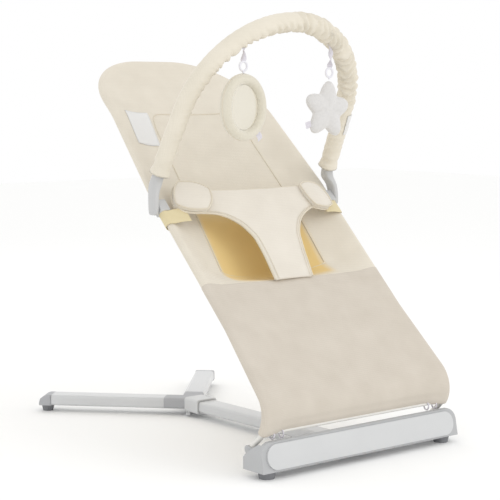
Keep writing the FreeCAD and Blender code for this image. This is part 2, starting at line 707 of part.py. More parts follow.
def seat_rows(stations):
    """Rows of (x, u, n) as points that face the front of the seat."""
    return [([seat_point(*spot) for spot in row], outward) for row in stations]


def cloth(name, stations, thick):
    """A sub-part of cloth through rows of (x, u, n), with its thickness along n."""
    return node(feature(name, loft_of(seat_rows(stations), thick)), name)


def back_depth(u):
    """How deep the middle of the back hangs behind the rails."""
    return between(u, [v["panel_start"], (v["panel_start"] + v["panel_end"]) / 2, v["panel_end"]],
                   [v["pouch_depth"], v["middle_depth"], v["neck_depth"]])


EDGE_SHARE = 0.5
panel_us = [v["panel_start"] + (v["panel_end"] - v["panel_start"]) * step / 4 for step in range(5)]
panel_rows = []
for u in panel_us:
    deep = back_depth(u)
    half = v["panel_half"]
    panel_rows.append([(-half, u, rail_n(u) - deep * EDGE_SHARE), (-half / 2, u, rail_n(u) - deep),
                       (half / 2, u, rail_n(u) - deep), (half, u, rail_n(u) - deep * EDGE_SHARE)])
cloth("back_panel", panel_rows, v["panel_pad"])


def side_panel(name, side):
    """The gusset between one rail and the back panel."""
    seam = side * (v["panel_half"] + v["cloth_gap"])
    low_edge = v["cover_end"] + v["cloth_gap"]
    rows = [[(side * (rail_x(low_edge) - wire_edge), low_edge, 0.0),
             (seam, low_edge, -v["floor_drop"])]]
    for u in panel_us:
        rows.append([(side * (rail_x(u) - wire_edge), u, rail_n(u)),
                     (seam, u, rail_n(u) - back_depth(u) * EDGE_SHARE)])
    panel_cloth = feature(name + "_cloth", loft_of(seat_rows(rows), v["side_cloth"]))
    notch = doc.addObject("Part::Box", name + "_notch")
    low = v["strap_place"] - v["strap_width"] / 2 - 1
    bound(notch, Length="30", Height="20",
          Width="clip_place + clip_length / 2 - strap_place + strap_width / 2 + 2")
    edge = side * (v["rail_half"] - v["clip_inner"] - v["cloth_gap"])
    notch.Placement = FreeCAD.Placement(seat_point(min(edge, edge + side * 30), low, -10),
                                        FreeCAD.Rotation(Vector(1, 0, 0), v["seat_angle"]))
    return node(cut(name, panel_cloth, notch), name)


side_panel("side_panel_left", 1)
side_panel("side_panel_right", -1)

# the floor of the pouch, from the leg cover's top hem back to the foot of the back panel
floor_half = v["panel_half"]
floor_back = v["panel_start"] - v["cloth_gap"]
floor_xs = (-floor_half, -floor_half / 2, floor_half / 2, floor_half)
floor_depths = [v["pouch_depth"] * share for share in (EDGE_SHARE, 1.0, 1.0, EDGE_SHARE)]
cloth("pouch_floor", [[(x, v["cover_end"], -v["floor_drop"]) for x in floor_xs],
                      [(x, floor_back, -deep) for x, deep in zip(floor_xs, floor_depths)]],
      v["side_cloth"])

# the head panel, which narrows inside the round head of the frame
head_run = math.hypot(v["head_reach"] - v["neck_end"], v["head_back"])
side_slope = math.atan2(neck_half - frame_head_half, head_run)
round_t = head_run - v["head_radius"]
round_x = neck_half - (v["head_radius"] + round_t * math.sin(side_slope)) / math.cos(side_slope)


def head_half(u):
    """Half the clear width inside the frame, at a place along the seat."""
    t = (u - v["neck_end"]) / (v["head_reach"] - v["neck_end"]) * head_run
    if t < round_t + v["head_radius"] * math.sin(side_slope):
        return rail_x(u) - wire_edge - v["cloth_gap"]
    inner = v["head_radius"] - wire_edge
    return round_x + math.sqrt(max(inner ** 2 - (t - round_t) ** 2, 0.0))


head_rows = []
head_floor = v["panel_end"] + 2
head_top = v["head_reach"] - wire_edge - 1
HEAD_STEPS = 7
for step in range(HEAD_STEPS + 1):
    u = head_floor + (head_top - head_floor) * math.sin(math.pi / 2 * step / HEAD_STEPS)
    half = head_half(u)
    sag = rail_n(u) - v["neck_depth"] * between(u, [head_floor, head_top], [1.0, 0.0])
    head_rows.append([(-half, u, rail_n(u)), (-half / 2, u, sag), (half / 2, u, sag),
                      (half, u, rail_n(u))])
cloth("head_panel", head_rows, v["side_cloth"])

# the leg cover, a flat front panel that follows the wire's lower bend down to its hem rod
cover_rows = []
COVER_STEPS = 5
for step in range(COVER_STEPS + 1):
    start_angle = hem_angle + (v["hem_radius"] + v["loop_wall"] + v["cloth_gap"]) / v["bend_radius"]
    angle = start_angle + (math.pi / 2 - seat_angle - start_angle) * step / COVER_STEPS
    facing = Vector(0, -math.cos(angle), math.sin(angle))
    spot = bend_centre + facing * v["bend_radius"]
    half = rail_x(max((spot - bend).dot(along), 0.0)) - wire_edge
    cover_rows.append(([spot + Vector(-half, 0, 0), spot + Vector(half, 0, 0)], facing))
for u in (v["rail_start"], v["cover_end"]):
    half = rail_x(u) - wire_edge
    cover_rows.append(([seat_point(-half, u), seat_point(half, u)], outward))
node(feature("leg_cover", loft_of(cover_rows, v["cover_cloth"])), "leg_cover")

# ---------------------------------------------------------------- bodice
bodice_start = v["cover_end"] + v["cloth_gap"]
bodice_rows = []
BODICE_OUTLINE = [(0.0, "bodice_foot"), (0.3, "bodice_waist"), (0.55, "bodice_waist"),
                  (0.72, "bodice_shoulder"), (0.84, "bodice_chest"), (1.0, "bodice_chest")]
for share, width in BODICE_OUTLINE:
    u = bodice_start + (v["bodice_end"] - bodice_start) * share
    rise = v["bodice_lift"] + v["bodice_rise"] * math.sin(math.pi / 2 * share)
    bodice_rows.append([(-v[width], u, rise), (v[width], u, rise)])
cloth("bodice", bodice_rows, v["bodice_pad"])


def seat_frame_place(obj, x, u, n=0.0):
    """Put an object at a seat point with its own Y up the seat and its Z to the front."""
    obj.Placement = FreeCAD.Placement(seat_point(x, u, n),
                                      FreeCAD.Rotation(Vector(1, 0, 0), v["seat_angle"]))
    return obj


def bodice_tab(name, side):
    """The padded end of the bodice, which the strap to the rail is sewn to."""
    body = new_body(name)
    plan = rectangle(sketch_on(body, "XY_Plane"), "tab_width / 2", "tab_length / 2")
    solid = pad(body, plan, "tab_thick", midplane=True)
    round_edges(body, solid, "tab_thick * 0.45", lambda edge: True)
    middle = v["bodice_chest"] + v["cloth_gap"] + v["tab_width"] / 2
    seat_frame_place(body, side * middle, v["bodice_end"] - v["tab_length"] / 2, v["bodice_rise"])
    return node(body, name)


bodice_tab("bodice_tab_left", 1)
bodice_tab("bodice_tab_right", -1)


def strap(name, side):
    """An elastic loop sewn to the tab and closed round the rail."""
    reach = v["wire_radius"] + v["cloth_gap"] + v["strap_thick"]
    ring = doc.addObject("Part::Cylinder", name + "_ring")
    bound(ring, Radius="wire_radius + cloth_gap + strap_thick", Height="strap_width")
    bore = doc.addObject("Part::Cylinder", name + "_bore")
    bound(bore, Radius="wire_radius + cloth_gap / 2", Height="strap_width + 2")
    lie = FreeCAD.Rotation(Vector(1, 0, 0), v["seat_angle"] - 90)
    ring.Placement = FreeCAD.Placement(
        seat_point(side * v["rail_half"], v["strap_place"] - v["strap_width"] / 2), lie)
    bore.Placement = FreeCAD.Placement(
        seat_point(side * v["rail_half"], v["strap_place"] - v["strap_width"] / 2 - 1), lie)
    tail = doc.addObject("Part::Box", name + "_tail")
    tab_edge = v["bodice_chest"] + v["cloth_gap"] + v["tab_width"]
    run = v["rail_half"] - tab_edge
    drop = v["bodice_rise"] - reach / 2
    tail_length = math.hypot(run, drop) - v["cloth_gap"] - v["strap_thick"] * 3 / 4
    tail.Length = tail_length
    bound(tail, Width="strap_width", Height="strap_thick")
    tilt = math.degrees(math.atan2(drop, -side * run))
    turn = FreeCAD.Rotation(Vector(1, 0, 0), v["seat_angle"]).multiply(
        FreeCAD.Rotation(Vector(0, 1, 0), -tilt))
    tail.Placement = FreeCAD.Placement(
        seat_point(side * v["rail_half"], v["strap_place"] - v["strap_width"] / 2, reach / 2), turn)
    return node(cut(name, fuse(name + "_solid", ring, tail), bore), name)


strap("strap_left", 1)
strap("strap_right", -1)

# ---------------------------------------------------------------- toy bar
hinge = seat_point(0, v["clip_place"])


def bar_clip(name, side):
    """The clip on the rail, with the pin that the toy bar turns on."""
    inner = side * (v["rail_half"] - v["clip_inner"])
    outer = side * (v["rail_half"] + v["clip_outer"])
    block = doc.addObject("Part::Box", name + "_block")
    bound(block, Length="clip_inner + clip_outer", Width="clip_length", Height="clip_height")
    low_x = min(inner, outer)
    block.Placement = FreeCAD.Placement(
        seat_point(low_x, v["clip_place"] - v["clip_length"] / 2, -v["clip_height"] / 2),
        FreeCAD.Rotation(Vector(1, 0, 0), v["seat_angle"]))
    soft = doc.addObject("Part::Fillet", name + "_soft")
    soft.Base = block
    doc.recompute()
    soft.Edges = [(i + 1, 2.0, 2.0) for i in range(len(block.Shape.Edges))]
    pin_x = outer if side > 0 else outer - v["hinge_length"]
    pin = cross_rod(name + "_pin", "hinge_radius", "hinge_length", pin_x, hinge.y, hinge.z)
    bore = doc.addObject("Part::Cylinder", name + "_bore")
    bound(bore, Radius="wire_radius + 0.02", Height="clip_length + 2")
    bore.Placement = FreeCAD.Placement(
        seat_point(side * v["rail_half"], v["clip_place"] - v["clip_length"] / 2 - 1),
        FreeCAD.Rotation(Vector(1, 0, 0), v["seat_angle"] - 90))
    return node(cut(name, fuse(name + "_solid", soft, pin), bore), name)


bar_clip("bar_clip_left", 1)
bar_clip("bar_clip_right", -1)

lean = math.radians(v["bar_lean"])
bar_root = hinge + Vector(0, v["end_forward"], v["end_height"])
bar_up = Vector(0, -math.sin(lean), math.cos(lean))


def bar_point(x, s):
    """A point in the leaning plane of the toy bar, s above the bar's root."""
    return bar_root + bar_up * s + Vector(x, 0, 0)


# the arch is one arc between two straight legs that splay a little
splay = math.radians(v["bar_splay"])
arc_x = arch_radius * math.cos(splay)
arch_middle = (bar_half - arc_x) / math.tan(splay) - arch_radius * math.sin(splay)
arc_s = arch_middle + arch_radius * math.sin(splay)
arch_top = arch_middle + arch_radius


def arch_path(start):
    """The bar's middle line, from a distance above its root on both legs."""
    foot_x = bar_half - start * math.tan(splay)
    return Part.Wire([
        Part.LineSegment(bar_point(foot_x, start), bar_point(arc_x, arc_s)).toShape(),
        Part.Arc(bar_point(arc_x, arc_s), bar_point(0, arch_top),
                 bar_point(-arc_x, arc_s)).toShape(),
        Part.LineSegment(bar_point(-arc_x, arc_s), bar_point(-foot_x, start)).toShape()])


tube_shape = swept_rod(arch_path(-v["bar_sink"]), v["bar_radius"])
node(feature("toy_bar_tube", tube_shape), "toy_bar_tube")
sleeve_path = arch_path(v["sleeve_start"])
sleeve_outer = swept_rod(sleeve_path, v["sleeve_radius"])
sleeve_inner = swept_rod(arch_path(v["sleeve_start"] - 2), v["bar_radius"] + v["cloth_gap"] / 4)
node(feature("toy_bar_sleeve", sleeve_outer.cut(sleeve_inner)), "toy_bar_sleeve")


def bar_end(name, side):
    """The moulded end of the bar: an eye on the clip's pin and a socket for the tube."""
    inner = v["rail_half"] + v["clip_outer"] + 0.3
    x = side * (inner + v["end_thick"] / 2)
    body = new_body(name + "_blade")
    half = "end_width / 2"
    blade = outline(sketch_on(body, "YZ_Plane"), [
        ("-(%s)" % half, "0"), (half, "0"), ("%s + end_forward" % half, "end_height + 3"),
        ("end_forward - %s" % half, "end_height + 3")])
    pad(body, blade, "end_thick", midplane=True)
    place(body, x, hinge.y, hinge.z)
    eye = cross_rod(name + "_eye", "end_width / 2", "end_thick", x - v["end_thick"] / 2,
                    hinge.y, hinge.z)
    bore = cross_rod(name + "_bore", "hinge_radius + running_gap", "end_thick + 2",
                     x - v["end_thick"] / 2 - 1, hinge.y, hinge.z)
    socket = doc.addObject("Part::Cylinder", name + "_socket")
    bound(socket, Radius="bar_radius + 3", Height="bar_sink + sleeve_start / 2 + 2")
    socket.Placement = FreeCAD.Placement(bar_point(side * bar_half, -v["bar_sink"] - 4),
                                         FreeCAD.Rotation(Vector(1, 0, 0), v["bar_lean"]))
    bridge = box(name + "_bridge", "end_thick + 8", "end_width - 4", "16",
                 min(side * (bar_half - 2), side * (bar_half + v["end_thick"] + 6)),
                 bar_root.y - v["end_width"] / 2 + 2, bar_root.z - 18)
    hole = doc.addObject("Part::Cylinder", name + "_hole")
    bound(hole, Radius="bar_radius + 0.05", Height="bar_sink + 40")
    foot = bar_point(side * (bar_half + v["bar_sink"] * math.tan(splay)), -v["bar_sink"])
    rise = bar_point(side * arc_x, arc_s) - foot
    hole.Placement = FreeCAD.Placement(foot, FreeCAD.Rotation(Vector(0, 0, 1), rise))
    return node(cut(name, fuse(name + "_solid", body, eye, socket, bridge), bore, hole), name)


bar_end("bar_end_left", 1)
bar_end("bar_end_right", -1)


def bar_height(x):
    """How far above the bar's root its middle line is, at a distance from the middle."""
    return arch_middle + math.sqrt(arch_radius ** 2 - x ** 2)


def ribbon(name, x, length):
    """A ribbon round the sleeve with a tail that hangs below it, and an eyelet at its end."""
    spot = bar_point(x, bar_height(x))
    tangent_tilt = math.degrees(math.asin(x / arch_radius))
    turn = FreeCAD.Rotation(Vector(1, 0, 0), v["bar_lean"]).multiply(
        FreeCAD.Rotation(Vector(0, 1, 0), tangent_tilt + 90))
    ring = doc.addObject("Part::Cylinder", name + "_ring")
    bound(ring, Radius="sleeve_radius + cloth_gap + ribbon_thick", Height="ribbon_width")
    bore = doc.addObject("Part::Cylinder", name + "_bore")
    bound(bore, Radius="sleeve_radius + cloth_gap", Height="ribbon_width + 2")
    shift = turn.multVec(Vector(0, 0, v["ribbon_width"] / 2))
    ring.Placement = FreeCAD.Placement(spot - shift, turn)
    bore.Placement = FreeCAD.Placement(spot - shift * (1 + 2 / v["ribbon_width"]), turn)
    rise = x / arch_radius * math.cos(lean)
    reach = (v["sleeve_radius"] + 5 * v["cloth_gap"]) / math.sqrt(1 - rise ** 2)
    hang = Vector(spot.x, spot.y, spot.z - reach - length)
    drop = doc.addObject("Part::Box", name + "_tail")
    bound(drop, Length="ribbon_width", Width="ribbon_thick")
    drop.Height = length - v["eyelet_radius"] - v["cloth_gap"]
    place(drop, spot.x - v["ribbon_width"] / 2, spot.y - v["ribbon_thick"] / 2,
          hang.z + v["eyelet_radius"])
    eyelet = cross_rod(name + "_eyelet", "eyelet_radius + ribbon_thick", "eyelet_width",
                       hang.x - v["eyelet_width"] / 2, hang.y, hang.z)
    eye_bore = cross_rod(name + "_eyebore", "eyelet_radius", "ribbon_width + 2",
                         hang.x - v["ribbon_width"] / 2 - 1, hang.y, hang.z)
    node(cut(name, fuse(name + "_solid", ring, drop, eyelet), bore, eye_bore), name)
    return hang


mirror_hang = ribbon("mirror_ribbon", v["mirror_x"], v["mirror_ribbon"])
star_hang = ribbon("star_ribbon", v["star_x"], v["star_ribbon"])


def hook(name, hang):
    """A plastic hook: a ring through the ribbon's eyelet and a shank down to the toy."""
    eye = doc.addObject("Part::Torus", name + "_eye")
    bound(eye, Radius1="hook_ring", Radius2="hook_radius")
    place(eye, hang.x, hang.y, hang.z - v["hook_ring"] - v["hook_drop"], (1, 0, 0), 90)
    shank = rod(name + "_shank", "hook_radius", "hook_length - hook_drop - 2 * hook_ring",
                hang.x, hang.y, hang.z - v["hook_length"])
    return node(fuse(name, eye, shank), name)


hook("mirror_hook", mirror_hang)
hook("star_hook", star_hang)

# the mirror toy: a stuffed ring with a flat mirror disc, turned a little on its ribbon
ring_mid = mirror_hang + Vector(0, 0, -v["hook_length"] - v["ring_radius"] - v["ring_section"])
turned = FreeCAD.Rotation(Vector(0, 0, 1), v["mirror_turn"]).multiply(
    FreeCAD.Rotation(Vector(1, 0, 0), 90))
plush = doc.addObject("Part::Torus", "ring_plush")
bound(plush, Radius1="ring_radius", Radius2="ring_section")
plush.Placement = FreeCAD.Placement(ring_mid, turned)
backing = doc.addObject("Part::Cylinder", "ring_backing")
bound(backing, Radius="ring_radius", Height="disc_half")
backing.Placement = FreeCAD.Placement(ring_mid - turned.multVec(Vector(0, 0, v["disc_half"])),
                                      turned)
node(fuse("mirror_ring_solid", plush, backing), "mirror_ring")
disc = doc.addObject("Part::Cylinder", "disc")
bound(disc, Radius="ring_radius - ring_section + 1.5", Height="disc_half / 2")
disc.Placement = FreeCAD.Placement(ring_mid + turned.multVec(Vector(0, 0, 0.05)), turned)
disc_space = doc.addObject("Part::Torus", "disc_space")
bound(disc_space, Radius1="ring_radius", Radius2="ring_section + 0.1")
disc_space.Placement = plush.Placement
node(cut("mirror", disc, disc_space), "mirror_disc")

# the star toy: a stuffed five-pointed star
star_body = new_body("star_stuffed")
star_corners = []
for point in range(10):
    size = "star_radius" if point % 2 == 0 else "star_waist"
    turn = "(90 + star_turn + 36 * %d)" % point
    star_corners.append(("%s * cos(%s * 1 deg)" % (size, turn),
                         "%s * sin(%s * 1 deg)" % (size, turn)))
star_plan = outline(sketch_on(star_body, "XZ_Plane"), star_corners)
star_pad = pad(star_body, star_plan, "star_thick", midplane=True)
star_lean = math.radians(v["star_turn"])
place(star_body, star_hang.x + v["star_radius"] * math.sin(star_lean), star_hang.y,
      star_hang.z - v["hook_length"] - v["star_radius"] * math.cos(star_lean))
node(star_body, "star_plush")

# small loops that hold the cover's hem to its rod
hem_loops = []
for side in (-1, 1):
    for inset in (12.0, 30.0):
        x = side * (hem_half - inset) - 2
        ring = cross_rod("hem_ring", "hem_radius + loop_wall", "4", x, hem.y, hem.z)
        bore = cross_rod("hem_ring_bore", "hem_radius + running_gap", "6", x - 1, hem.y, hem.z)
        hem_loops.append(cut("hem_loop", ring, bore))
node(doc.addObject("Part::Compound", "hem_loops"), "hem_loops").Links = hem_loops


# ---------------------------------------------------------------- checks and export
doc.recompute()
for obj in doc.Objects:
    if "Invalid" in obj.State or "Error" in obj.State:
        raise RuntimeError("%s did not recompute: %s" % (obj.Name, obj.State))
for obj in NODES:
    if obj.Shape.isNull() or not obj.Shape.isValid():
        raise RuntimeError(obj.Label + " has no valid shape")
os.makedirs("parts", exist_ok=True)
for obj in NODES:
    obj.Shape.exportStep("parts/%s.step" % obj.Label)
print("wrote", len(NODES), "sub-parts")
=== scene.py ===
# %% [markdown]
# # Bouncer seat
# A bouncer is a sling of knitted cloth stretched over a bent steel wire frame. The frame
# leans back from a plastic housing on the floor, and two legs behind it stop it tipping.
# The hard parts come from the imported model. The cloth parts there are only plain
# stand-ins, so every one of them is made again here as sewn cloth.

import json
import math

import bmesh
import bpy
from mathutils import Matrix, Vector, noise


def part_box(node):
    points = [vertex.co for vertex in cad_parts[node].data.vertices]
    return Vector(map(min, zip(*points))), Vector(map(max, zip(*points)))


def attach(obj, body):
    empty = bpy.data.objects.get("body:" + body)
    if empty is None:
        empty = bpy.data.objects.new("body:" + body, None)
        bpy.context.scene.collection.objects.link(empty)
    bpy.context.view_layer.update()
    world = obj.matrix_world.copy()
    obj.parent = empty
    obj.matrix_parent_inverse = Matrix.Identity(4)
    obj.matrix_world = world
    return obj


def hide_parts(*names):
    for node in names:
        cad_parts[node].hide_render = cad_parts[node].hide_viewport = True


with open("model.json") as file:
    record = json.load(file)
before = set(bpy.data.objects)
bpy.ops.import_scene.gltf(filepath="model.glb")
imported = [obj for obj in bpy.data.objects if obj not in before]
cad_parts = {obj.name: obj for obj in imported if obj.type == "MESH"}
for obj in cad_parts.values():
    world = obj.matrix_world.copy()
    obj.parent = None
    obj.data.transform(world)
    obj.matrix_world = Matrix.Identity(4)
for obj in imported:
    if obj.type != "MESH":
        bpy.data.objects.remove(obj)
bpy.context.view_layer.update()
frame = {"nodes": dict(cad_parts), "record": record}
MM = 0.001
print("hard and soft parts loaded:", len(frame["nodes"]))

# %% [markdown]
# ## Where things are
# The seat lies in a plane that leans at 45 degrees. It is easiest to think in the seat's
# own directions: x across it, u up along it and n out of its front, all in millimetres.
# One function turns such a place into a point of the model. The seat's corner, where the
# wires bend up from the floor, is found from the recline shaft.

# %% Seat directions
SEAT_ANGLE = math.radians(45)
shaft_low, shaft_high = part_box("recline_shaft")
shaft = (shaft_low + shaft_high) / 2
CORNER_FROM_SHAFT = Vector((0, -29.3, 53.7)) * MM
corner = shaft + CORNER_FROM_SHAFT
up_seat = Vector((0, math.cos(SEAT_ANGLE), math.sin(SEAT_ANGLE)))
off_seat = Vector((0, -math.sin(SEAT_ANGLE), math.cos(SEAT_ANGLE)))


def seat_point(x, u, n=0.0):
    """A point across, along and out of the seat, from millimetres to the model's metres."""
    return corner + Vector((x * MM, 0, 0)) + up_seat * (u * MM) + off_seat * (n * MM)


def smooth(t):
    """A share from 0 to 1 with soft ends."""
    t = min(max(t, 0.0), 1.0)
    return t * t * (3 - 2 * t)


def between(spot, spots, levels):
    """Straight-line interpolation in a short list."""
    for low, high, first, last in zip(spots, spots[1:], levels, levels[1:]):
        if spot <= high:
            return first + (last - first) * (spot - low) / (high - low)
    return levels[-1]


print("seat corner at", [round(c, 4) for c in corner])

# %% [markdown]
# ## Colours and the one node function
# Every finish is a small tree of shader nodes. One function adds a node, sets its
# properties and feeds its inputs. A colour is written as the hex value of a paint chart,
# which is in sRGB, and Blender wants linear light, so a second function converts it. Each
# finish mixes a darker and a lighter tone by a pattern, as no real surface is one colour.

# %% Node and colour helpers


def srgb(code):
    """A paint-chart hex colour as the linear colour that a shader wants."""
    parts = [int(code[k:k + 2], 16) / 255 for k in (0, 2, 4)]
    return [p / 12.92 if p < 0.04045 else ((p + 0.055) / 1.055) ** 2.4 for p in parts] + [1]


def add(tree, kind, inputs=None, **settings):
    """Add a node; inputs holds numbers, or other nodes' outputs to link."""
    node = tree.nodes.new("ShaderNode" + kind)
    for name, value in settings.items():
        setattr(node, name, value)
    for name, value in (inputs or {}).items():
        if isinstance(value, bpy.types.NodeSocket):
            tree.links.new(value, node.inputs[name])
        else:
            node.inputs[name].default_value = value
    return node


def new_material(name):
    """An empty material and its node tree."""
    material = bpy.data.materials.new(name)
    material.use_nodes = True
    material.node_tree.nodes.clear()
    return material, material.node_tree


# %% [markdown]
# ## Knitted jersey
# The sling is cotton jersey: a fine knit with ribs, called wales, that run along the seat
# and rows, called courses, across it. Real wales are under a millimetre apart, too fine to
# show, so they are drawn 1.8 mm apart. The knit scatters light softly and has a faint
# sheen at grazing angles. Deep in the pouch a warm tint of painted light is added on the
# cloth's front only: painted bounce light, standing for the golden glow in the pouch's shade.

# %% Jersey


def jersey(name, dark, light, wale=1.8, depth=0.25, sheen=0.25, painted_warm_light=None):
    """Knitted cloth: ribs across x, courses along z, and a cloudy change of tone.

    A warm colour of painted light, standing for the golden glow of bounced light in the
    pouch's shade, shows where the cloth's painted-light attribute is, on the side that
    faces forwards and up.
    """
    material, tree = new_material(name)
    place = add(tree, "TexCoord").outputs["Object"]
    ribs = add(tree, "TexWave", {"Vector": place, "Scale": 0.314 / (wale * MM),
                                 "Distortion": 1.2, "Detail": 1, "Detail Scale": 2},
               wave_type="BANDS", bands_direction="X")
    rows = add(tree, "TexWave", {"Vector": place, "Scale": 0.314 / (wale * 1.3 * MM),
                                 "Distortion": 1.5, "Detail": 1, "Detail Scale": 2},
               wave_type="BANDS", bands_direction="Z")
    knit = add(tree, "Math", {0: ribs.outputs["Fac"], 1: rows.outputs["Fac"]},
               operation="MULTIPLY")
    clouds = add(tree, "TexNoise", {"Vector": place, "Scale": 28, "Detail": 3})
    fuzz = add(tree, "TexNoise", {"Vector": place, "Scale": 900, "Detail": 2})
    tone = add(tree, "Math", {0: clouds.outputs["Fac"], 1: 0.72}, operation="MULTIPLY")
    mixed = add(tree, "Math", {0: knit.outputs[0], 1: 0.3, 2: tone.outputs[0]},
                operation="MULTIPLY_ADD")
    colour = add(tree, "MixRGB", {"Fac": mixed.outputs[0], "Color1": srgb(dark),
                                  "Color2": srgb(light)}).outputs["Color"]
    # painted warm light: a golden tint for light bounced about in the pouch's shade, on the
    # cloth's front only
    if painted_warm_light:
        painted_light_mask = add(tree, "Attribute", attribute_name="painted_pouch_light").outputs["Fac"]
        normal = add(tree, "TexCoord").outputs["Normal"]
        facing = add(tree, "VectorMath", {0: normal, 1: (0, -1, 1)}, operation="DOT_PRODUCT")
        front = add(tree, "Math", {0: facing.outputs["Value"], 1: 0.0},
                    operation="GREATER_THAN")
        inner = add(tree, "Math", {0: painted_light_mask, 1: front.outputs[0]}, operation="MULTIPLY")
        colour = add(tree, "MixRGB", {"Fac": inner.outputs[0], "Color1": colour,
                                      "Color2": srgb(painted_warm_light)}).outputs["Color"]
    height = add(tree, "Math", {0: fuzz.outputs["Fac"], 1: 0.5, 2: knit.outputs[0]},
                 operation="MULTIPLY_ADD")
    bump = add(tree, "Bump", {"Height": height.outputs[0], "Strength": depth,
                              "Distance": 0.4 * MM})
    cloth = add(tree, "BsdfPrincipled", {
        "Base Color": colour, "Roughness": 0.9, "IOR": 1.45, "Specular IOR Level": 0.2,
        "Sheen Weight": sheen, "Sheen Roughness": 0.4, "Normal": bump.outputs["Normal"]})
    add(tree, "OutputMaterial", {"Surface": cloth.outputs[0]})
    return material


# The leg cover's jersey is set darker than the sling's: painted shade for its lower part, which
# faces down and away from the light.
COVER_JERSEY_PAINTED_SHADE = jersey("leg_cover_painted_shade_jersey", "C6BDB0", "DAD2C6")
# the sling's warm colour is painted light, for the glow of bounced light deep in the pouch's
# shade
SLING_JERSEY = jersey("sling_jersey", "D6CEBF", "E9E2D4", painted_warm_light="E9CB86")
PAD_JERSEY = jersey("padded_jersey", "DAD3C7", "EBE5DA", depth=0.18)
SLEEVE_JERSEY = jersey("ruched_jersey", "DAD3C3", "ECE5D7", depth=0.15)
PIPING = jersey("bias_piping", "D6CDBB", "E5DDCC", wale=1.2, depth=0.1)
print("jerseys knitted:", len(bpy.data.materials))

# %% [markdown]
# ## Plush, elastic, ribbon and label
# The toys are short-pile plush, which has a soft nap that hides its weave. The elastic is
# a ribbed woven band with a yellow tinge. The ribbon is smooth satin, and the label
# is a plain white woven patch with no print.

# %% Soft finishes


def plush(name, dark, light):
    """Short pile: clumps of nap a few millimetres across and fine fibres on them."""
    material, tree = new_material(name)
    place = add(tree, "TexCoord").outputs["Object"]
    clumps = add(tree, "TexNoise", {"Vector": place, "Scale": 260, "Detail": 4,
                                    "Roughness": 0.7})
    fibres = add(tree, "TexNoise", {"Vector": place, "Scale": 1400, "Detail": 2})
    nap = add(tree, "Math", {0: fibres.outputs["Fac"], 1: 0.5, 2: clumps.outputs["Fac"]},
              operation="MULTIPLY_ADD")
    colour = add(tree, "MixRGB", {"Fac": clumps.outputs["Fac"], "Color1": srgb(dark),
                                  "Color2": srgb(light)}).outputs["Color"]
    bump = add(tree, "Bump", {"Height": nap.outputs[0], "Strength": 0.5,
                              "Distance": 0.8 * MM})
    pile = add(tree, "BsdfPrincipled", {
        "Base Color": colour, "Roughness": 1.0, "Specular IOR Level": 0.1,
        "Sheen Weight": 0.6, "Sheen Roughness": 0.5, "Normal": bump.outputs["Normal"]})
    add(tree, "OutputMaterial", {"Surface": pile.outputs[0]})
    return material


def woven_band(name, dark, light, pitch, roughness, direction="Z"):
    """A narrow woven band with ribs across it."""
    material, tree = new_material(name)
    place = add(tree, "TexCoord").outputs["Object"]
    ribs = add(tree, "TexWave", {"Vector": place, "Scale": 0.314 / (pitch * MM),
                                 "Distortion": 0.5}, wave_type="BANDS",
               bands_direction=direction)
    colour = add(tree, "MixRGB", {"Fac": ribs.outputs["Fac"], "Color1": srgb(dark),
                                  "Color2": srgb(light)}).outputs["Color"]
    bump = add(tree, "Bump", {"Height": ribs.outputs["Fac"], "Strength": 0.3,
                              "Distance": 0.3 * MM})
    band = add(tree, "BsdfPrincipled", {
        "Base Color": colour, "Roughness": roughness, "Specular IOR Level": 0.3,
        "Sheen Weight": 0.15, "Normal": bump.outputs["Normal"]})
    add(tree, "OutputMaterial", {"Surface": band.outputs[0]})
    return material


CREAM_PLUSH = plush("cream_plush", "CFC9B7", "E3DDCE")
WHITE_PLUSH = plush("white_plush", "CBC9C7", "E1DFDD")
ELASTIC = woven_band("ribbed_elastic", "D2C397", "E6DAB7", 1.6, 0.8)
SATIN = woven_band("satin_ribbon", "CBC7CE", "E2DFE6", 1.2, 0.45)
PATCH = woven_band("woven_patch", "DDDCDA", "E9E8E6", 1.0, 0.7)
print("soft finishes so far:", len(bpy.data.materials))

# %% [markdown]
# ## Moulded plastic, enamel, steel, rubber and mirror film
# Moulded housings have a fine spark-eroded texture that spreads their highlights. The
# tubes and wires are enamelled steel: smooth, slightly wavy and glossier. Screws and the
# shaft are zinc-plated steel, a metal with faint streaks. Feet are matt rubber.

# %% Hard finishes


def moulded(name, dark, light, roughness, grain, depth, coat=0.0, metallic=0.0):
    """A hard surface with a grain in millimetres that shows in its gloss and bump."""
    material, tree = new_material(name)
    place = add(tree, "TexCoord").outputs["Object"]
    texture = add(tree, "TexNoise", {"Vector": place, "Scale": 1 / (grain * MM), "Detail": 2})
    clouds = add(tree, "TexNoise", {"Vector": place, "Scale": 14, "Detail": 3})
    colour = add(tree, "MixRGB", {"Fac": clouds.outputs["Fac"], "Color1": srgb(dark),
                                  "Color2": srgb(light)}).outputs["Color"]
    gloss = add(tree, "MapRange", {"Value": texture.outputs["Fac"],
                                   "To Min": roughness - 0.05, "To Max": roughness + 0.05})
    bump = add(tree, "Bump", {"Height": texture.outputs["Fac"], "Strength": depth,
                              "Distance": 0.1 * MM})
    skin = add(tree, "BsdfPrincipled", {
        "Base Color": colour, "Roughness": gloss.outputs[0], "Coat Weight": coat,
        "Coat Roughness": 0.15, "Metallic": metallic, "Normal": bump.outputs["Normal"]})
    add(tree, "OutputMaterial", {"Surface": skin.outputs[0]})
    return material


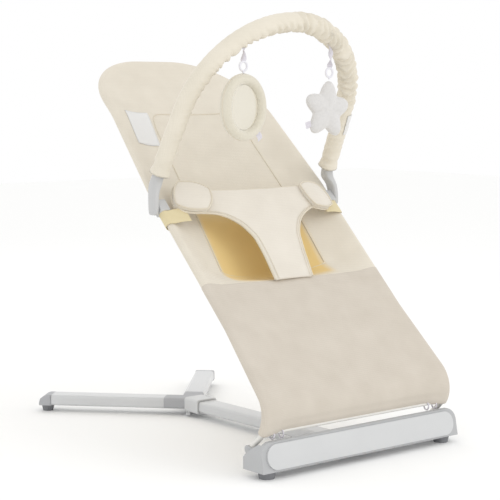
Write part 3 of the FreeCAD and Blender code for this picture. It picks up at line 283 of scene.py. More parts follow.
LIGHT_GREY_ABS = moulded("light_grey_abs", "B0B1B2", "BBBCBD", 0.5, 0.8, 0.15)
WHITE_ABS = moulded("white_abs", "C9CACB", "D3D4D4", 0.35, 1.2, 0.06, coat=0.2)
GREY_ABS = moulded("grey_abs", "A8A9AC", "B3B4B7", 0.5, 0.8, 0.15)
CLIP_ABS = moulded("clip_grey_abs", "BDBDBD", "CACAC9", 0.38, 1.2, 0.08, coat=0.2)
DARK_RUBBER = moulded("foot_rubber", "77787B", "858689", 0.85, 0.7, 0.3)
TUBE_ENAMEL = moulded("tube_enamel", "C9CACB", "D3D4D5", 0.32, 3.0, 0.04, coat=0.4)
WIRE_ENAMEL = moulded("wire_enamel", "DEDCD6", "E8E6E1", 0.35, 3.0, 0.04, coat=0.4)
ZINC = moulded("zinc_plate", "B4B6B8", "CACCCE", 0.32, 0.5, 0.1, metallic=1.0)
# The mirror film is given the cream colour of the cloth it reflects: a painted reflection, on top
# of its partly metallic gloss.
MIRROR_FILM_PAINTED_REFLECTION = moulded("mirror_film", "DFD9CA", "EAE5D8", 0.2, 20.0, 0.05, metallic=0.6)
HOOK_ACETAL = moulded("hook_acetal", "DDDCE2", "EAE9EF", 0.3, 1.0, 0.05)

FINISHES = {
    "light_grey_plastic": LIGHT_GREY_ABS, "white_plastic": WHITE_ABS,
    "grey_plastic": GREY_ABS, "dark_rubber": DARK_RUBBER,
    "white_enamelled_tube": TUBE_ENAMEL, "zinc_steel": ZINC,
    "white_enamelled_wire": WIRE_ENAMEL, "cream_jersey": SLING_JERSEY,
    "padded_jersey": PAD_JERSEY, "cream_elastic": ELASTIC, "white_ribbon": SATIN,
    "mirror_film": MIRROR_FILM_PAINTED_REFLECTION, "cream_plush": CREAM_PLUSH, "white_plush": WHITE_PLUSH}

for part in frame["record"]["subparts"]:
    solid = frame["nodes"][part["node"]]
    solid.data.materials.clear()
    solid.data.materials.append(FINISHES[part["material_slot"]])
for name in ("bar_clip_left", "bar_clip_right", "bar_end_left", "bar_end_right"):
    frame["nodes"][name].data.materials[0] = CLIP_ABS
for name in ("mirror_hook", "star_hook"):
    frame["nodes"][name].data.materials[0] = HOOK_ACETAL

# %% [markdown]
# ## From a mesh to a piece
# A piece is finished the same way each time: its mesh becomes an object at the origin,
# it gets its cloth, its wall thickness and one step of subdivision, and it rides on the
# part of the model that it moves with. The plain stand-ins it replaces are hidden.

# %% Piece helpers


def subdivide(obj):
    """One live step of subdivision, the same in the view and in the render."""
    soft = obj.modifiers.new("soft", "SUBSURF")
    soft.levels = soft.render_levels = 1


def piece(name, shape, material, body, replaces=(), wall=0.0, smoother=False, offset=0.0):
    """Turn a bmesh in metres into a finished piece that rides on a body."""
    bmesh.ops.remove_doubles(shape, verts=shape.verts, dist=0.02 * MM)
    bmesh.ops.recalc_face_normals(shape, faces=shape.faces)
    mesh = bpy.data.meshes.new(name)
    shape.to_mesh(mesh)
    shape.free()
    for polygon in mesh.polygons:
        polygon.use_smooth = True
    obj = bpy.data.objects.new(name, mesh)
    bpy.context.scene.collection.objects.link(obj)
    mesh.materials.append(material)
    if wall:
        thick = obj.modifiers.new("wall", "SOLIDIFY")
        thick.thickness = wall * MM
        thick.offset = offset
    if smoother:
        subdivide(obj)
    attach(obj, body)
    if replaces:
        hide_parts(*replaces)
    return obj


def tube(name, points, radius, material, body, closed=False, sides=10, replaces=()):
    """A round cord of cloth or wire along points in metres, such as piping on a seam."""
    curve = bpy.data.curves.new(name + "_line", "CURVE")
    curve.dimensions = "3D"
    curve.bevel_depth = radius * MM
    curve.bevel_resolution = max(1, sides // 4 - 1)
    curve.use_fill_caps = not closed
    spline = curve.splines.new("POLY")
    spline.points.add(len(points) - 1)
    for knot, point in zip(spline.points, points):
        knot.co = (*point, 1)
    spline.use_cyclic_u = closed
    line = bpy.data.objects.new(name + "_line", curve)
    mesh = bpy.data.meshes.new_from_object(line)
    shape = bmesh.new()
    shape.from_mesh(mesh)
    bpy.data.objects.remove(line)
    bpy.data.curves.remove(curve)
    bpy.data.meshes.remove(mesh)
    return piece(name, shape, material, body, replaces)


def new_corners(made):
    """The corners that a bmesh operator has just made."""
    return [v for v in made["geom"] if isinstance(v, bmesh.types.BMVert)]


def second_side(shape, apart):
    """Back a cloth with a second face, joined to it round the border."""
    made = bmesh.ops.extrude_face_region(shape, geom=shape.faces[:], use_keep_orig=True)
    bmesh.ops.translate(shape, verts=new_corners(made), vec=off_seat * (-apart * MM))


def turn_over(shape, edges, roots, steps, place):
    """Extrude a border once for each step, and put each new corner where place says.

    roots holds what place needs to know of each border corner, such as its flat place.
    """
    for step in steps:
        made = bmesh.ops.extrude_edge_only(shape, edges=edges)
        edges = [e for e in made["geom"] if isinstance(e, bmesh.types.BMEdge)]
        fresh = {}
        for v in {v for e in edges for v in e.verts}:
            old = next(e.other_vert(v) for e in v.link_edges if e.other_vert(v) in roots)
            fresh[v] = roots[old]
            v.co = place(roots[old], step)
        roots = fresh


def corners_of(edges, known):
    """What is known of each corner of some edges."""
    return {v: known[v] for e in edges for v in e.verts}


def cloth_grid(columns, rows):
    """A flat cloth of squares; each corner remembers its share across and along."""
    shape = bmesh.new()
    # a layer for the painted warm light in the pouch; only the sling fills it
    shape.verts.layers.float.new("painted_pouch_light")
    bmesh.ops.create_grid(shape, x_segments=columns, y_segments=rows, size=1)
    return shape, {v: (v.co.x, (v.co.y + 1) / 2) for v in shape.verts}


# %% [markdown]
# ## The seat frame's outline
# The sling is sewn round the wire, so its edge follows the frame: up the two rails, in
# towards the neck and round the wide head. The head leans back a little more than the
# seat. The outline is worked out once, as if unrolled flat, and a second function rolls a
# flat place back on to the frame.

# %% Frame outline
NECK_U, NECK_HALF, NECK_BEND = 592.0, 153.5, 12.0
RAIL_AT = [0.0, 164.0, 426.0, NECK_U]
RAIL_HALF = [180.0, 168.0, 168.0, NECK_HALF]
HEAD_U, HEAD_HALF, HEAD_BACK = 727.0, 135.5, 25.0
HEAD_ARC = 118.0
WIRE = 4.0
CASING = WIRE + 2.0
head_run = math.hypot(HEAD_U - NECK_U, HEAD_BACK)
head_tilt = math.atan2(HEAD_BACK, HEAD_U - NECK_U)
head_slope = math.atan2(NECK_HALF - HEAD_HALF, head_run)
arc_s = NECK_U + head_run - HEAD_ARC
arc_x = NECK_HALF - (HEAD_ARC + (arc_s - NECK_U) * math.sin(head_slope)) / math.cos(head_slope)
side_end = arc_s + HEAD_ARC * math.sin(head_slope)


def rail_half(s):
    """Half the frame's width at a distance along the unrolled seat."""
    if s <= NECK_U:
        return between(s, RAIL_AT, RAIL_HALF)
    if s <= side_end:
        return NECK_HALF - (s - NECK_U) * math.tan(head_slope)
    return arc_x + math.sqrt(max(HEAD_ARC ** 2 - (s - arc_s) ** 2, 0.0))


def run_past_neck(past):
    """How much of the run is past the neck, easing in over the neck's bend."""
    if past <= -NECK_BEND:
        return 0.0
    if past >= NECK_BEND:
        return past
    return (past + NECK_BEND) ** 2 / (4 * NECK_BEND)


def rolled(x, s, n):
    """A place on the unrolled seat, put on the frame, whose head leans back."""
    past = s - NECK_U
    back = run_past_neck(past)
    u = NECK_U + past - back * (1 - math.cos(head_tilt))
    lean = math.sin(head_tilt) * back
    return seat_point(x, u + n * math.sin(head_tilt) * min(1, back / NECK_BEND) * 0.5,
                      n - lean)


def edge_gap(x, s):
    """How far a place is inside the frame's middle line."""
    if s > side_end and abs(x) > arc_x:
        return HEAD_ARC - math.hypot(abs(x) - arc_x, s - arc_s)
    gap = rail_half(min(s, side_end)) - abs(x) if s <= side_end else 1e9
    return min(gap, NECK_U + head_run - s)


print("unrolled head reaches", round(NECK_U + head_run, 1), "mm")

# %% [markdown]
# ## How the sling hangs
# The back hangs in a shallow pouch that is deepest at the seat. A middle panel is sewn to
# a side gusset on each side; the seam sits half as deep as the middle. In front of the
# back panel the pouch has a short floor that rises to the leg cover's top hem. Above the
# back panel the cloth is one piece up to the head. The depth is a function of the place,
# so the cloth, its seams and the patch all lie on exactly the same surface.

# %% Sling depth
FLOOR_S, PANEL_S, MIDDLE_S, PANEL_TOP = 239.0, 281.0, 427.0, 595.0
FLOOR_DEPTH, POUCH_DEPTH, MIDDLE_DEPTH, TOP_DEPTH = 4.0, 44.0, 20.0, 8.0
PANEL_AT, PANEL_HALVES = [PANEL_S, MIDDLE_S, PANEL_TOP], [104.0, 99.0, 86.0]
SEAM_SHARE = 0.5


def panel_half(s):
    """Half the width of the middle panel, which narrows towards the neck."""
    return between(max(s, PANEL_S), PANEL_AT, PANEL_HALVES)


def middle_depth(s):
    """How deep the middle of the sling hangs behind the frame."""
    if s < PANEL_S:
        rise = smooth((s - FLOOR_S) / (PANEL_S - FLOOR_S)) ** 0.8
        return FLOOR_DEPTH + (POUCH_DEPTH - FLOOR_DEPTH) * rise
    if s < MIDDLE_S:
        left = (1 - (s - PANEL_S) / (MIDDLE_S - PANEL_S)) ** 1.25
        return MIDDLE_DEPTH + (POUCH_DEPTH - MIDDLE_DEPTH) * left
    return between(s, [MIDDLE_S, PANEL_TOP, NECK_U + head_run],
                   [MIDDLE_DEPTH, TOP_DEPTH, 0.0])


def sling_n(x, s):
    """Height of the sling's cloth over the frame's plane; below it is negative."""
    deep = middle_depth(s)
    across = abs(x)
    edge = max(rail_half(s), 1.0)
    panel = panel_half(s)
    if across < panel:
        sewn = SEAM_SHARE + (1 - SEAM_SHARE) * (1 - (across / panel) ** 2) ** 0.8
    else:
        q = min((across - panel) / max(edge - panel, 1.0), 1.0)
        sewn = SEAM_SHARE * (1 - q) + 0.10 * math.sin(math.pi * q)
    bowl = 1 - min(across / edge, 1.0) ** 2
    above = smooth((s - (PANEL_TOP - 12)) / 30)
    sunk = deep * (sewn * (1 - above) + bowl * above)
    lift = CASING * smooth(1 - edge_gap(x, s) / 48.0)
    return lift - sunk


# %% [markdown]
# ## Sling: one cloth from the pouch to the head
# The cloth starts as a flat grid, as it would lie on the cutting table. Each corner of the
# grid is moved to its place in the sling. Lower rows run straight across; near the head
# they bow up, so the last row is the arc of the head wire. Then the border is extruded
# step by step round the wire, which makes the sewn casing that hides it.

# %% Sling's edge
CORNER_TURN = math.radians(45)
corner_x = arc_x + HEAD_ARC * math.sin(CORNER_TURN)
corner_s = arc_s + HEAD_ARC * math.cos(CORNER_TURN)
SLING_START = 236.0
side_run = side_end - SLING_START
arc_start = math.pi / 2 - head_slope
arc_run = HEAD_ARC * (arc_start - CORNER_TURN)


def edge_place(share):
    """Half width and distance along the frame's outline, from the pouch to the corner."""
    run = share * (side_run + arc_run)
    if run <= side_run:
        return rail_half(SLING_START + run), SLING_START + run
    turn = arc_start - (run - side_run) / HEAD_ARC
    return arc_x + HEAD_ARC * math.sin(turn), arc_s + HEAD_ARC * math.cos(turn)


def top_s(x):
    """The head wire's arc."""
    if abs(x) <= arc_x:
        return arc_s + HEAD_ARC
    return arc_s + math.sqrt(max(HEAD_ARC ** 2 - (abs(x) - arc_x) ** 2, 0.0))


def outward_way(x, s):
    """The flat direction that points out over the wire at a border place."""
    if s <= side_end:
        slope = head_slope if s > NECK_U else 0.0
        return math.copysign(math.cos(slope), x), math.sin(slope)
    if abs(x) <= arc_x:
        return 0.0, 1.0
    away = Vector((abs(x) - arc_x, s - arc_s)).normalized()
    return math.copysign(away.x, x), away.y


print("edge from the pouch to the corner:", round(side_run + arc_run), "mm")

# %% Sling's grid
SLING_COLUMNS, SLING_ROWS = 56, 64
PAINTED_LIGHT_TOP, PAINTED_LIGHT_FADE = 430.0, 60.0
sling, shares = cloth_grid(SLING_COLUMNS, SLING_ROWS)
flat = {}
for v, (a, b) in shares.items():
    half, along = edge_place(b)
    bow = smooth((b - 0.5) / 0.5)
    x = a * half
    s = along + bow * (top_s(a * corner_x) - corner_s)
    flat[v] = (x, s)
    v.co = rolled(x, s, sling_n(x, s))
# the mask of painted warm light: inside the middle panel, deep in the pouch, fading out below its
# top
painted_pouch_light = sling.verts.layers.float["painted_pouch_light"]
for v, (x, s) in flat.items():
    inside = smooth((panel_half(s) + 5 - abs(x)) / 14)
    deep = smooth((-sling_n(x, s) - 4) / 14)
    v[painted_pouch_light] = 0.92 * inside * deep * smooth((PAINTED_LIGHT_TOP - s) / PAINTED_LIGHT_FADE)
print("deepest point of the pouch:", round(min(sling_n(*spot) for spot in flat.values())), "mm")

# %% Sling's casing
CASING_TURNS = [math.radians(a) for a in (25, 50, 75, 100, 125, 150, 180, 210, 235)]
CASING_TUCK = 15.0


def casing_place(root, turn):
    """A corner of the casing, turned over the wire; with no turn, it is tucked back in."""
    x, s = root
    way_x, way_s = outward_way(x, s)
    if turn is None:
        x, s = x - way_x * CASING_TUCK, s - way_s * CASING_TUCK
        return rolled(x, s, sling_n(x, s) - 1.8)
    reach = CASING * math.sin(turn)
    return rolled(x + way_x * reach, s + way_s * reach, CASING * math.cos(turn))


border = [e for e in sling.edges if e.is_boundary
          and not all(flat[v][1] < SLING_START + 0.5 for v in e.verts)]
turn_over(sling, border, corners_of(border, flat), CASING_TURNS + [None], casing_place)
sling_piece = piece("sling", sling, SLING_JERSEY, "seat",
                    ["back_panel", "side_panel_left", "side_panel_right", "pouch_floor",
                     "head_panel"], wall=1.6, smoother=True)

# %% [markdown]
# ## Leg cover
# The leg cover is a separate flat panel. It hangs from the two rails, follows their lower
# bend and is hemmed round a thin rod at the bottom. Its sides are sewn into casings round
# the wires, and its top edge is a free double hem that stands a little off the pouch.

# %% Cover's shape
BEND_RADIUS, RAIL_BEND, COVER_TOP = 42.0, 93.72, 241.0
COVER_CASING = CASING + 0.7
bend_run = BEND_RADIUS * math.tan(math.radians(RAIL_BEND / 2))
bend_start = seat_point(0, bend_run) - off_seat * (BEND_RADIUS * MM)
hem_low, hem_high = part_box("hem_rod")
hem_middle = (hem_low + hem_high) / 2
hem_angle = math.asin((hem_middle.z - bend_start.z) / (BEND_RADIUS * MM))
bend_length = BEND_RADIUS * (math.pi / 2 - SEAT_ANGLE - hem_angle)
cover_length = bend_length + COVER_TOP - bend_run


def cover_point(x, run, n):
    """A place on the leg cover: along from the hem rod, round the bend and up the seat."""
    if run >= bend_length:
        return seat_point(x, bend_run + run - bend_length, n)
    angle = hem_angle + run / BEND_RADIUS
    way = Vector((0, -math.cos(angle), math.sin(angle)))
    return bend_start + Vector((x * MM, 0, 0)) + way * ((BEND_RADIUS + n) * MM)


def cover_half(run):
    """Half the rails' spacing beside a place on the cover."""
    return rail_half(max(bend_run + run - bend_length, 0.0))


def cover_n(x, run):
    """The cover dips a little between the rails and rides up over them at its edges."""
    half = cover_half(run)
    dip = 2.5 * (1 - (x / half) ** 2) * smooth(run / 60)
    lift = COVER_CASING * smooth(1 - (half - abs(x)) / 40.0)
    hem_dip = 1.2 * math.exp(-((run - 14) / 2.2) ** 2) + 0.9 * math.exp(
        -((run - cover_length + 14) / 2.0) ** 2)
    wave = 1.3 * math.sin(x * 0.045 + 0.8) * smooth((run - cover_length + 26) / 26)
    return lift - dip - hem_dip + wave * (1 - (x / half) ** 2)


print("cover length over its bend:", round(cover_length), "mm")

# %% Cover's grid
COVER_COLUMNS, COVER_ROWS = 44, 56
cover, shares = cloth_grid(COVER_COLUMNS, COVER_ROWS)
flat = {}
for v, (a, b) in shares.items():
    run = b * cover_length
    x = a * cover_half(run)
    flat[v] = (x, run)
    v.co = cover_point(x, run, cover_n(x, run))
print("cover corners:", len(flat))

# %% Cover's casings and hems
HEM_WRAP = 4.0
HEM_TURNS = [math.radians(a) for a in (35, 70, 105, 140, 175)]
TOP_FOLDS = ((1.2, 1.6), (0.0, 3.2), (-12.0, 3.0))


def cover_side(root, turn):
    """A corner of the cover's side casing, turned over the rail, or tucked back in."""
    x, run = root
    way = math.copysign(1, x)
    if turn is None:
        return cover_point(x - way * 14, run, cover_n(x - way * 14, run) - 2.0)
    return cover_point(x + way * COVER_CASING * math.sin(turn), run,
                       COVER_CASING * math.cos(turn))


def cover_hem(root, turn):
    """A corner of the bottom hem, turned round the hem rod."""
    return cover_point(root[0], -HEM_WRAP * math.sin(turn),
                       -2.5 + HEM_WRAP * math.cos(turn))


def cover_top(root, step):
    """A corner of the top hem, folded down behind the cover."""
    run, sink = step
    return cover_point(root[0], cover_length + run, cover_n(root[0], cover_length) - sink)


sides = [e for e in cover.edges if e.is_boundary and all(
    abs(abs(flat[v][0]) - cover_half(flat[v][1])) < 0.5 for v in e.verts)]
turn_over(cover, sides, corners_of(sides, flat), CASING_TURNS + [None], cover_side)
hem_edge = [e for e in cover.edges if e.is_boundary and all(
    v in flat and flat[v][1] < 0.5 and abs(flat[v][0]) < cover_half(0) - 1 for v in e.verts)]
turn_over(cover, hem_edge, corners_of(hem_edge, flat), HEM_TURNS, cover_hem)
top_edge = [e for e in cover.edges if e.is_boundary and all(
    v in flat and flat[v][1] > cover_length - 0.5 for v in e.verts)]
turn_over(cover, top_edge, corners_of(top_edge, flat), TOP_FOLDS, cover_top)
cover_piece = piece("leg_cover_cloth", cover, COVER_JERSEY_PAINTED_SHADE, "seat",
                    ["leg_cover", "hem_loops"], wall=1.3, smoother=True)

# %% [markdown]
# ## Seams
# The middle panel is joined to its gussets with a thin corded seam that rounds the top
# corners and crosses under the head. A second seam closes the pouch's floor. Each is a
# thin tube along a row of places on the sling's own surface.

# %% Piped seams
SEAM_CORNER, PANEL_CORD, FLOOR_CORD = 24.0, 0.9, 0.8


def on_sling(x, s, above=0.4):
    """A point just proud of the sling's cloth."""
    return rolled(x, s, sling_n(x, s) + 0.8 + above)


top_half = panel_half(PANEL_TOP)
half_seam = []
for k in range(40):
    along = PANEL_S + (PANEL_TOP - SEAM_CORNER - PANEL_S) * k / 40
    half_seam.append((panel_half(along), along))
for k in range(9):
    turn = math.pi / 2 * k / 8
    half_seam.append((top_half - SEAM_CORNER * (1 - math.cos(turn)),
                      PANEL_TOP - SEAM_CORNER * (1 - math.sin(turn))))
top_seam = [((top_half - SEAM_CORNER) * (1 - 2 * k / 18), PANEL_TOP) for k in range(1, 18)]
seam = half_seam + top_seam + [(-x, along) for x, along in reversed(half_seam)]
tube("panel_seam", [on_sling(x, s, 0.1) for x, s in seam], PANEL_CORD, PIPING,
     "seat")
floor_seam = [(panel_half(PANEL_S) * (1 - 2 * k / 40), PANEL_S - 3) for k in range(41)]
tube("floor_seam", [on_sling(x, s, 0.1) for x, s in floor_seam], FLOOR_CORD, PIPING,
     "seat")
print("seams sewn, panel", round(2 * top_half), "mm wide at its top")

# %% [markdown]
# ## Bodice
# The bodice holds the child in: a padded T that is sewn into the leg cover's hem, widens
# at the chest and reaches out to both rails. Its edges are bound with corded piping. The
# padding is puffed up by a short cloth simulation: the border is held still and air
# pressure lifts the middle.

# %% Puff up a padded piece


def puff(obj, held, pressure, cap, frames=20):
    """Inflate a closed mesh with cloth, holding some corners, and cap how far it moves."""
    group = obj.vertex_groups.new(name="sewn")
    group.add(held or [0], 1.0, "REPLACE")
    before = [v.co.copy() for v in obj.data.vertices]
    air = obj.modifiers.new("air", "CLOTH")
    air.settings.use_pressure = True
    air.settings.uniform_pressure_force = pressure
    air.settings.effector_weights.gravity = 0
    air.settings.tension_stiffness = air.settings.compression_stiffness = 12
    air.settings.vertex_group_mass = "sewn" if held else ""
    scene = bpy.context.scene
    for step in range(1, frames + 1):
        scene.frame_set(step)
    graph = bpy.context.evaluated_depsgraph_get()
    after = [v.co.copy() for v in obj.evaluated_get(graph).data.vertices]
    obj.modifiers.remove(air)
    obj.vertex_groups.remove(group)
    moved = 0.0
    for v, old, new in zip(obj.data.vertices, before, after):
        way = new - old
        if way.length > cap * MM:
            way *= cap * MM / way.length
        v.co = old + way
        moved = max(moved, way.length)
    scene.frame_set(1)
    print(obj.name, "puffed up by", round(moved / MM, 1), "mm")


# %% Bodice pad
BODICE_LOW, BODICE_HIGH = 238.0, 402.0
HEM_RISE, CHEST_RISE, END_DROP = 3.2, 22.0, 13.0
BODICE_THICK = 4.2
BODICE_AT = [0.0, 0.25, 0.45, 0.6, 0.7, 0.76, 0.82, 1.0]
BODICE_HALF = [37.0, 40.0, 45.0, 60.0, 82.0, 108.0, 146.0, 150.0]


def bodice_half(share):
    """Half the bodice's width, eased between a few measured places."""
    width = 0.0
    for k in (-2, -1, 0, 1, 2):
        width += between(min(max(share + k * 0.02, 0), 1), BODICE_AT, BODICE_HALF) / 5
    return width


def bodice_place(a, share, n=0.0):
    """A point of the bodice: it lifts to the chest and its ends drop to the rails."""
    x = a * bodice_half(share)
    u = BODICE_LOW + (BODICE_HIGH - BODICE_LOW) * share
    rise = HEM_RISE + CHEST_RISE * math.sin(math.pi / 2 * min(share * 1.1, 1.0))
    drop = END_DROP * smooth((abs(x) - 84) / 66)
    sag = -3.0 * math.cos(x / 95 * math.pi / 2) * share ** 6 if abs(x) < 95 else 0.0
    return seat_point(x, u + sag, rise - drop + n)


BODICE_COLUMNS, BODICE_ROWS = 40, 44
bodice, shares = cloth_grid(BODICE_COLUMNS, BODICE_ROWS)
for v, (a, b) in shares.items():
    v.co = bodice_place(a, b, 1.6 * (1 - a ** 4))
second_side(bodice, BODICE_THICK)
bodice_piece = piece("bodice_pad", bodice, PAD_JERSEY, "seat", ["bodice"])
rim = []
for v in bodice_piece.data.vertices:
    share = ((v.co - corner).dot(up_seat) / MM - BODICE_LOW) / (BODICE_HIGH - BODICE_LOW)
    x = abs(v.co.x) / MM
    if share < 0.02 or share > 0.965 or x > bodice_half(min(max(share, 0), 1)) - 2.5:
        rim.append(v.index)
puff(bodice_piece, rim, 5.0, 5.0)
subdivide(bodice_piece)
HANDS = ((1, "left"), (-1, "right"))
for side, hand in HANDS:
    binding = [bodice_place(side, k / 48, -0.5) for k in range(49)]
    tube("bodice_piping_" + hand, binding, 1.9, PIPING, "seat")
    line = [bodice_place(side * (1 - 5.5 / bodice_half(k / 48)), k / 48, 1.9)
            for k in range(46)]
    tube("bodice_stitch_" + hand, line, 0.45, PIPING, "seat", sides=8)
top_line = [bodice_place(1 - 2 * k / 48, 1.0, -0.5) for k in range(49)]
tube("bodice_top_piping", top_line, 1.7, PIPING, "seat")

# %% [markdown]
# ## Bodice tabs and elastic straps
# On each end of the bodice lies a rounded flap that folds over to the rail and is bound at
# its edge. An elastic band comes out from under it and loops round the rail. The flap is
# a rounded plate, puffed up like the bodice and laid over the bodice's end.

# %% Tab shape
TAB_X, TAB_LONG, TAB_WIDE, TAB_THICK = 122.0, 29.0, 26.0, 8.0
TAB_ROUND = 0.30
TAB_U = {"left": 383.0, "right": 394.0}
TAB_TURN = {"left": math.radians(10), "right": math.radians(28)}


def tab_place(side, across, along, n):
    """A point of a tab, from its own length and width: the outer end curls to the rail."""
    hand = "left" if side > 0 else "right"
    cos_turn, sin_turn = math.cos(TAB_TURN[hand]), math.sin(TAB_TURN[hand])
    x = TAB_X + across * cos_turn - along * sin_turn
    u = TAB_U[hand] + across * sin_turn + along * cos_turn
    drop = END_DROP * smooth((x - 98) / 60) + (along / TAB_WIDE) ** 2 * 2.0
    return seat_point(side * x, u, HEM_RISE + CHEST_RISE + 7.0 - drop + n)


def tab_outline(a, t):
    """A square's corner pulled in to a rounded oblong."""
    return (TAB_LONG * a * math.sqrt(1 - TAB_ROUND * t * t),
            TAB_WIDE * t * math.sqrt(1 - TAB_ROUND * a * a))


print("tab corner cut to", round(tab_outline(1, 1)[0], 1), "mm")

# %% Tab pieces
for side, hand in HANDS:
    tab, shares = cloth_grid(20, 20)
    rim_places = []
    for v, (a, b) in shares.items():
        t = 2 * b - 1
        across, along = tab_outline(a, t)
        v.co = tab_place(side, across, along, 3.0 * (1 - a * a) * (1 - t * t))
        if v.is_boundary:
            rim_places.append(v.co.copy())
    second_side(tab, TAB_THICK)
    rim_places += [place - off_seat * (TAB_THICK * MM) for place in rim_places]
    tab_piece = piece("bodice_flap_" + hand, tab, PAD_JERSEY, "seat",
                      ["bodice_tab_" + hand])
    rim = [v.index for v in tab_piece.data.vertices
           if min((v.co - place).length for place in rim_places) < 0.05 * MM]
    puff(tab_piece, rim, 7.0, 5.0)
    subdivide(tab_piece)
    for level, part in ((0.0, "upper"), (-TAB_THICK, "lower")):
        ring = []
        for k in range(48):
            turn = 2 * math.pi * k / 48
            c, s = math.cos(turn), math.sin(turn)
            big = max(abs(c), abs(s))
            ring.append(tab_place(side, *tab_outline(c / big, s / big), level))
        tube("flap_piping_%s_%s" % (part, hand), ring, 1.3, PIPING, "seat",
             closed=True)
print("tabs made")

# %% Elastic straps
STRAP_AT, STRAP_WIDTH, STRAP_CUT, STRAP_REACH = 368.0, 26.0, 76.0, CASING + 2.4
STRAP_ROOT, STRAP_WRAP = 136.0, math.radians(290)
for side, hand in HANDS:
    strap, shares = cloth_grid(10, 30)
    rail = rail_half(STRAP_AT)
    for v, (a, b) in shares.items():
        u = STRAP_AT + a * STRAP_WIDTH / 2
        if b < 0.3:
            t = b / 0.3
            x = STRAP_ROOT + (rail - STRAP_ROOT) * t
            n = 11.5 - 3.1 * t + 1.5 * math.sin(math.pi * t)
        else:
            turn = (b - 0.3) / 0.7 * STRAP_WRAP
            x = rail + STRAP_REACH * math.sin(turn)
            n = STRAP_REACH * math.cos(turn)
            u += 3.0 * math.sin(turn)
        v.co = seat_point(side * x, u, n)
    strap_piece = piece("elastic_strap_" + hand, strap, ELASTIC, "seat",
                        ["strap_" + hand], wall=1.2, smoother=True)
print("straps looped round the rails")

# %% [markdown]
# ## Toy bar sleeve
# The toy bar is a bent plastic tube in a sleeve of jersey that is longer than the tube, so
# it gathers into cross folds over the top and down the left arm, and on the right arm only
# on its inner side. The sleeve is an arch of rings. Each ring's radius is changed by folds
# that run round it at a slant and come and go along the arch, and the open ends flare.

# %% Arch of the bar
BAR_LEAN = math.radians(26.5)
BAR_HALF, ARCH, SPLAY = 171.0, 163.0, math.radians(4.5)
HINGE_U, ROOT_FROM_HINGE = 393.0, Vector((0, 4.0, 47.0)) * MM
hinge = seat_point(0, HINGE_U)
bar_root = hinge + ROOT_FROM_HINGE
bar_up = Vector((0, -math.sin(BAR_LEAN), math.cos(BAR_LEAN)))
bar_front = Vector((0, -math.cos(BAR_LEAN), -math.sin(BAR_LEAN)))
arch_middle = ((BAR_HALF - ARCH * math.cos(SPLAY)) / math.tan(SPLAY)
               - ARCH * math.sin(SPLAY))
arm_run = (arch_middle + ARCH * math.sin(SPLAY)) / math.cos(SPLAY)
arch_run = ARCH * (math.pi - 2 * SPLAY)
SLEEVE_START = 6.0
sleeve_run = 2 * (arm_run - SLEEVE_START) + arch_run


def bar_frame(run):
    """The bar's middle and its outward way at a distance from the right arm's root."""
    if run < arm_run:
        x = -(BAR_HALF - run * math.sin(SPLAY))
        up = run * math.cos(SPLAY)
        out = Vector((-math.cos(SPLAY), 0, 0)) + bar_up * math.sin(SPLAY)
        return bar_root + Vector((x * MM, 0, 0)) + bar_up * (up * MM), out
    if run > arm_run + arch_run:
        point, out = bar_frame(2 * arm_run + arch_run - run)
        return Vector((-point.x, point.y, point.z)), Vector((-out.x, out.y, out.z))
    turn = math.pi - SPLAY - (run - arm_run) / ARCH
    out = Vector((math.cos(turn), 0, 0)) + bar_up * math.sin(turn)
    return bar_root + bar_up * (arch_middle * MM) + out * (ARCH * MM), out


print("sleeve covers", round(sleeve_run), "mm of tube")

# %% Folds in the sleeve
FOLD_SPACING, FOLD_HEIGHT, FINE_HEIGHT = 13.5, 2.5, 2.0


def ruche(run, around):
    """How far the cloth stands off at a place: slanted folds that come and go."""
    share = run / sleeve_run
    strength = 0.25 + 0.75 * smooth((share - 0.34) / 0.18)
    strength *= 1 - 0.85 * smooth((share - 0.80) / 0.06)
    inner = 0.5 - 0.5 * math.cos(around)
    if share < 0.5:
        strength = max(strength * inner ** 0.7, 0.85 * inner ** 2 * smooth((share - 0.1) / 0.2))
    wobble = noise.noise(Vector((run * 0.045, math.cos(around) * 0.7, math.sin(around) * 0.7)))
    slant = 9.0 * math.cos(around + 0.9) + 7.0 * wobble
    fold = math.sin(2 * math.pi * (run + slant) / FOLD_SPACING + 2.2 * wobble)
    fold = abs(fold) ** 0.7 * math.copysign(1, fold)
    fine = noise.noise(Vector((run * 0.16, math.cos(around) * 1.6, math.sin(around) * 1.6)))
    return strength * (FOLD_HEIGHT * fold + FINE_HEIGHT * fine)


print("a fold stands off", round(ruche(sleeve_run / 2, 0), 2), "mm at the top of the arch")


# %% [markdown]
# ## Moulded ends of the bar
# Each end of the bar is a moulding: a flat blade on the clip's pin that turns into a round
# socket for the tube. It is a stack of rounded squares, bridged one to the next.

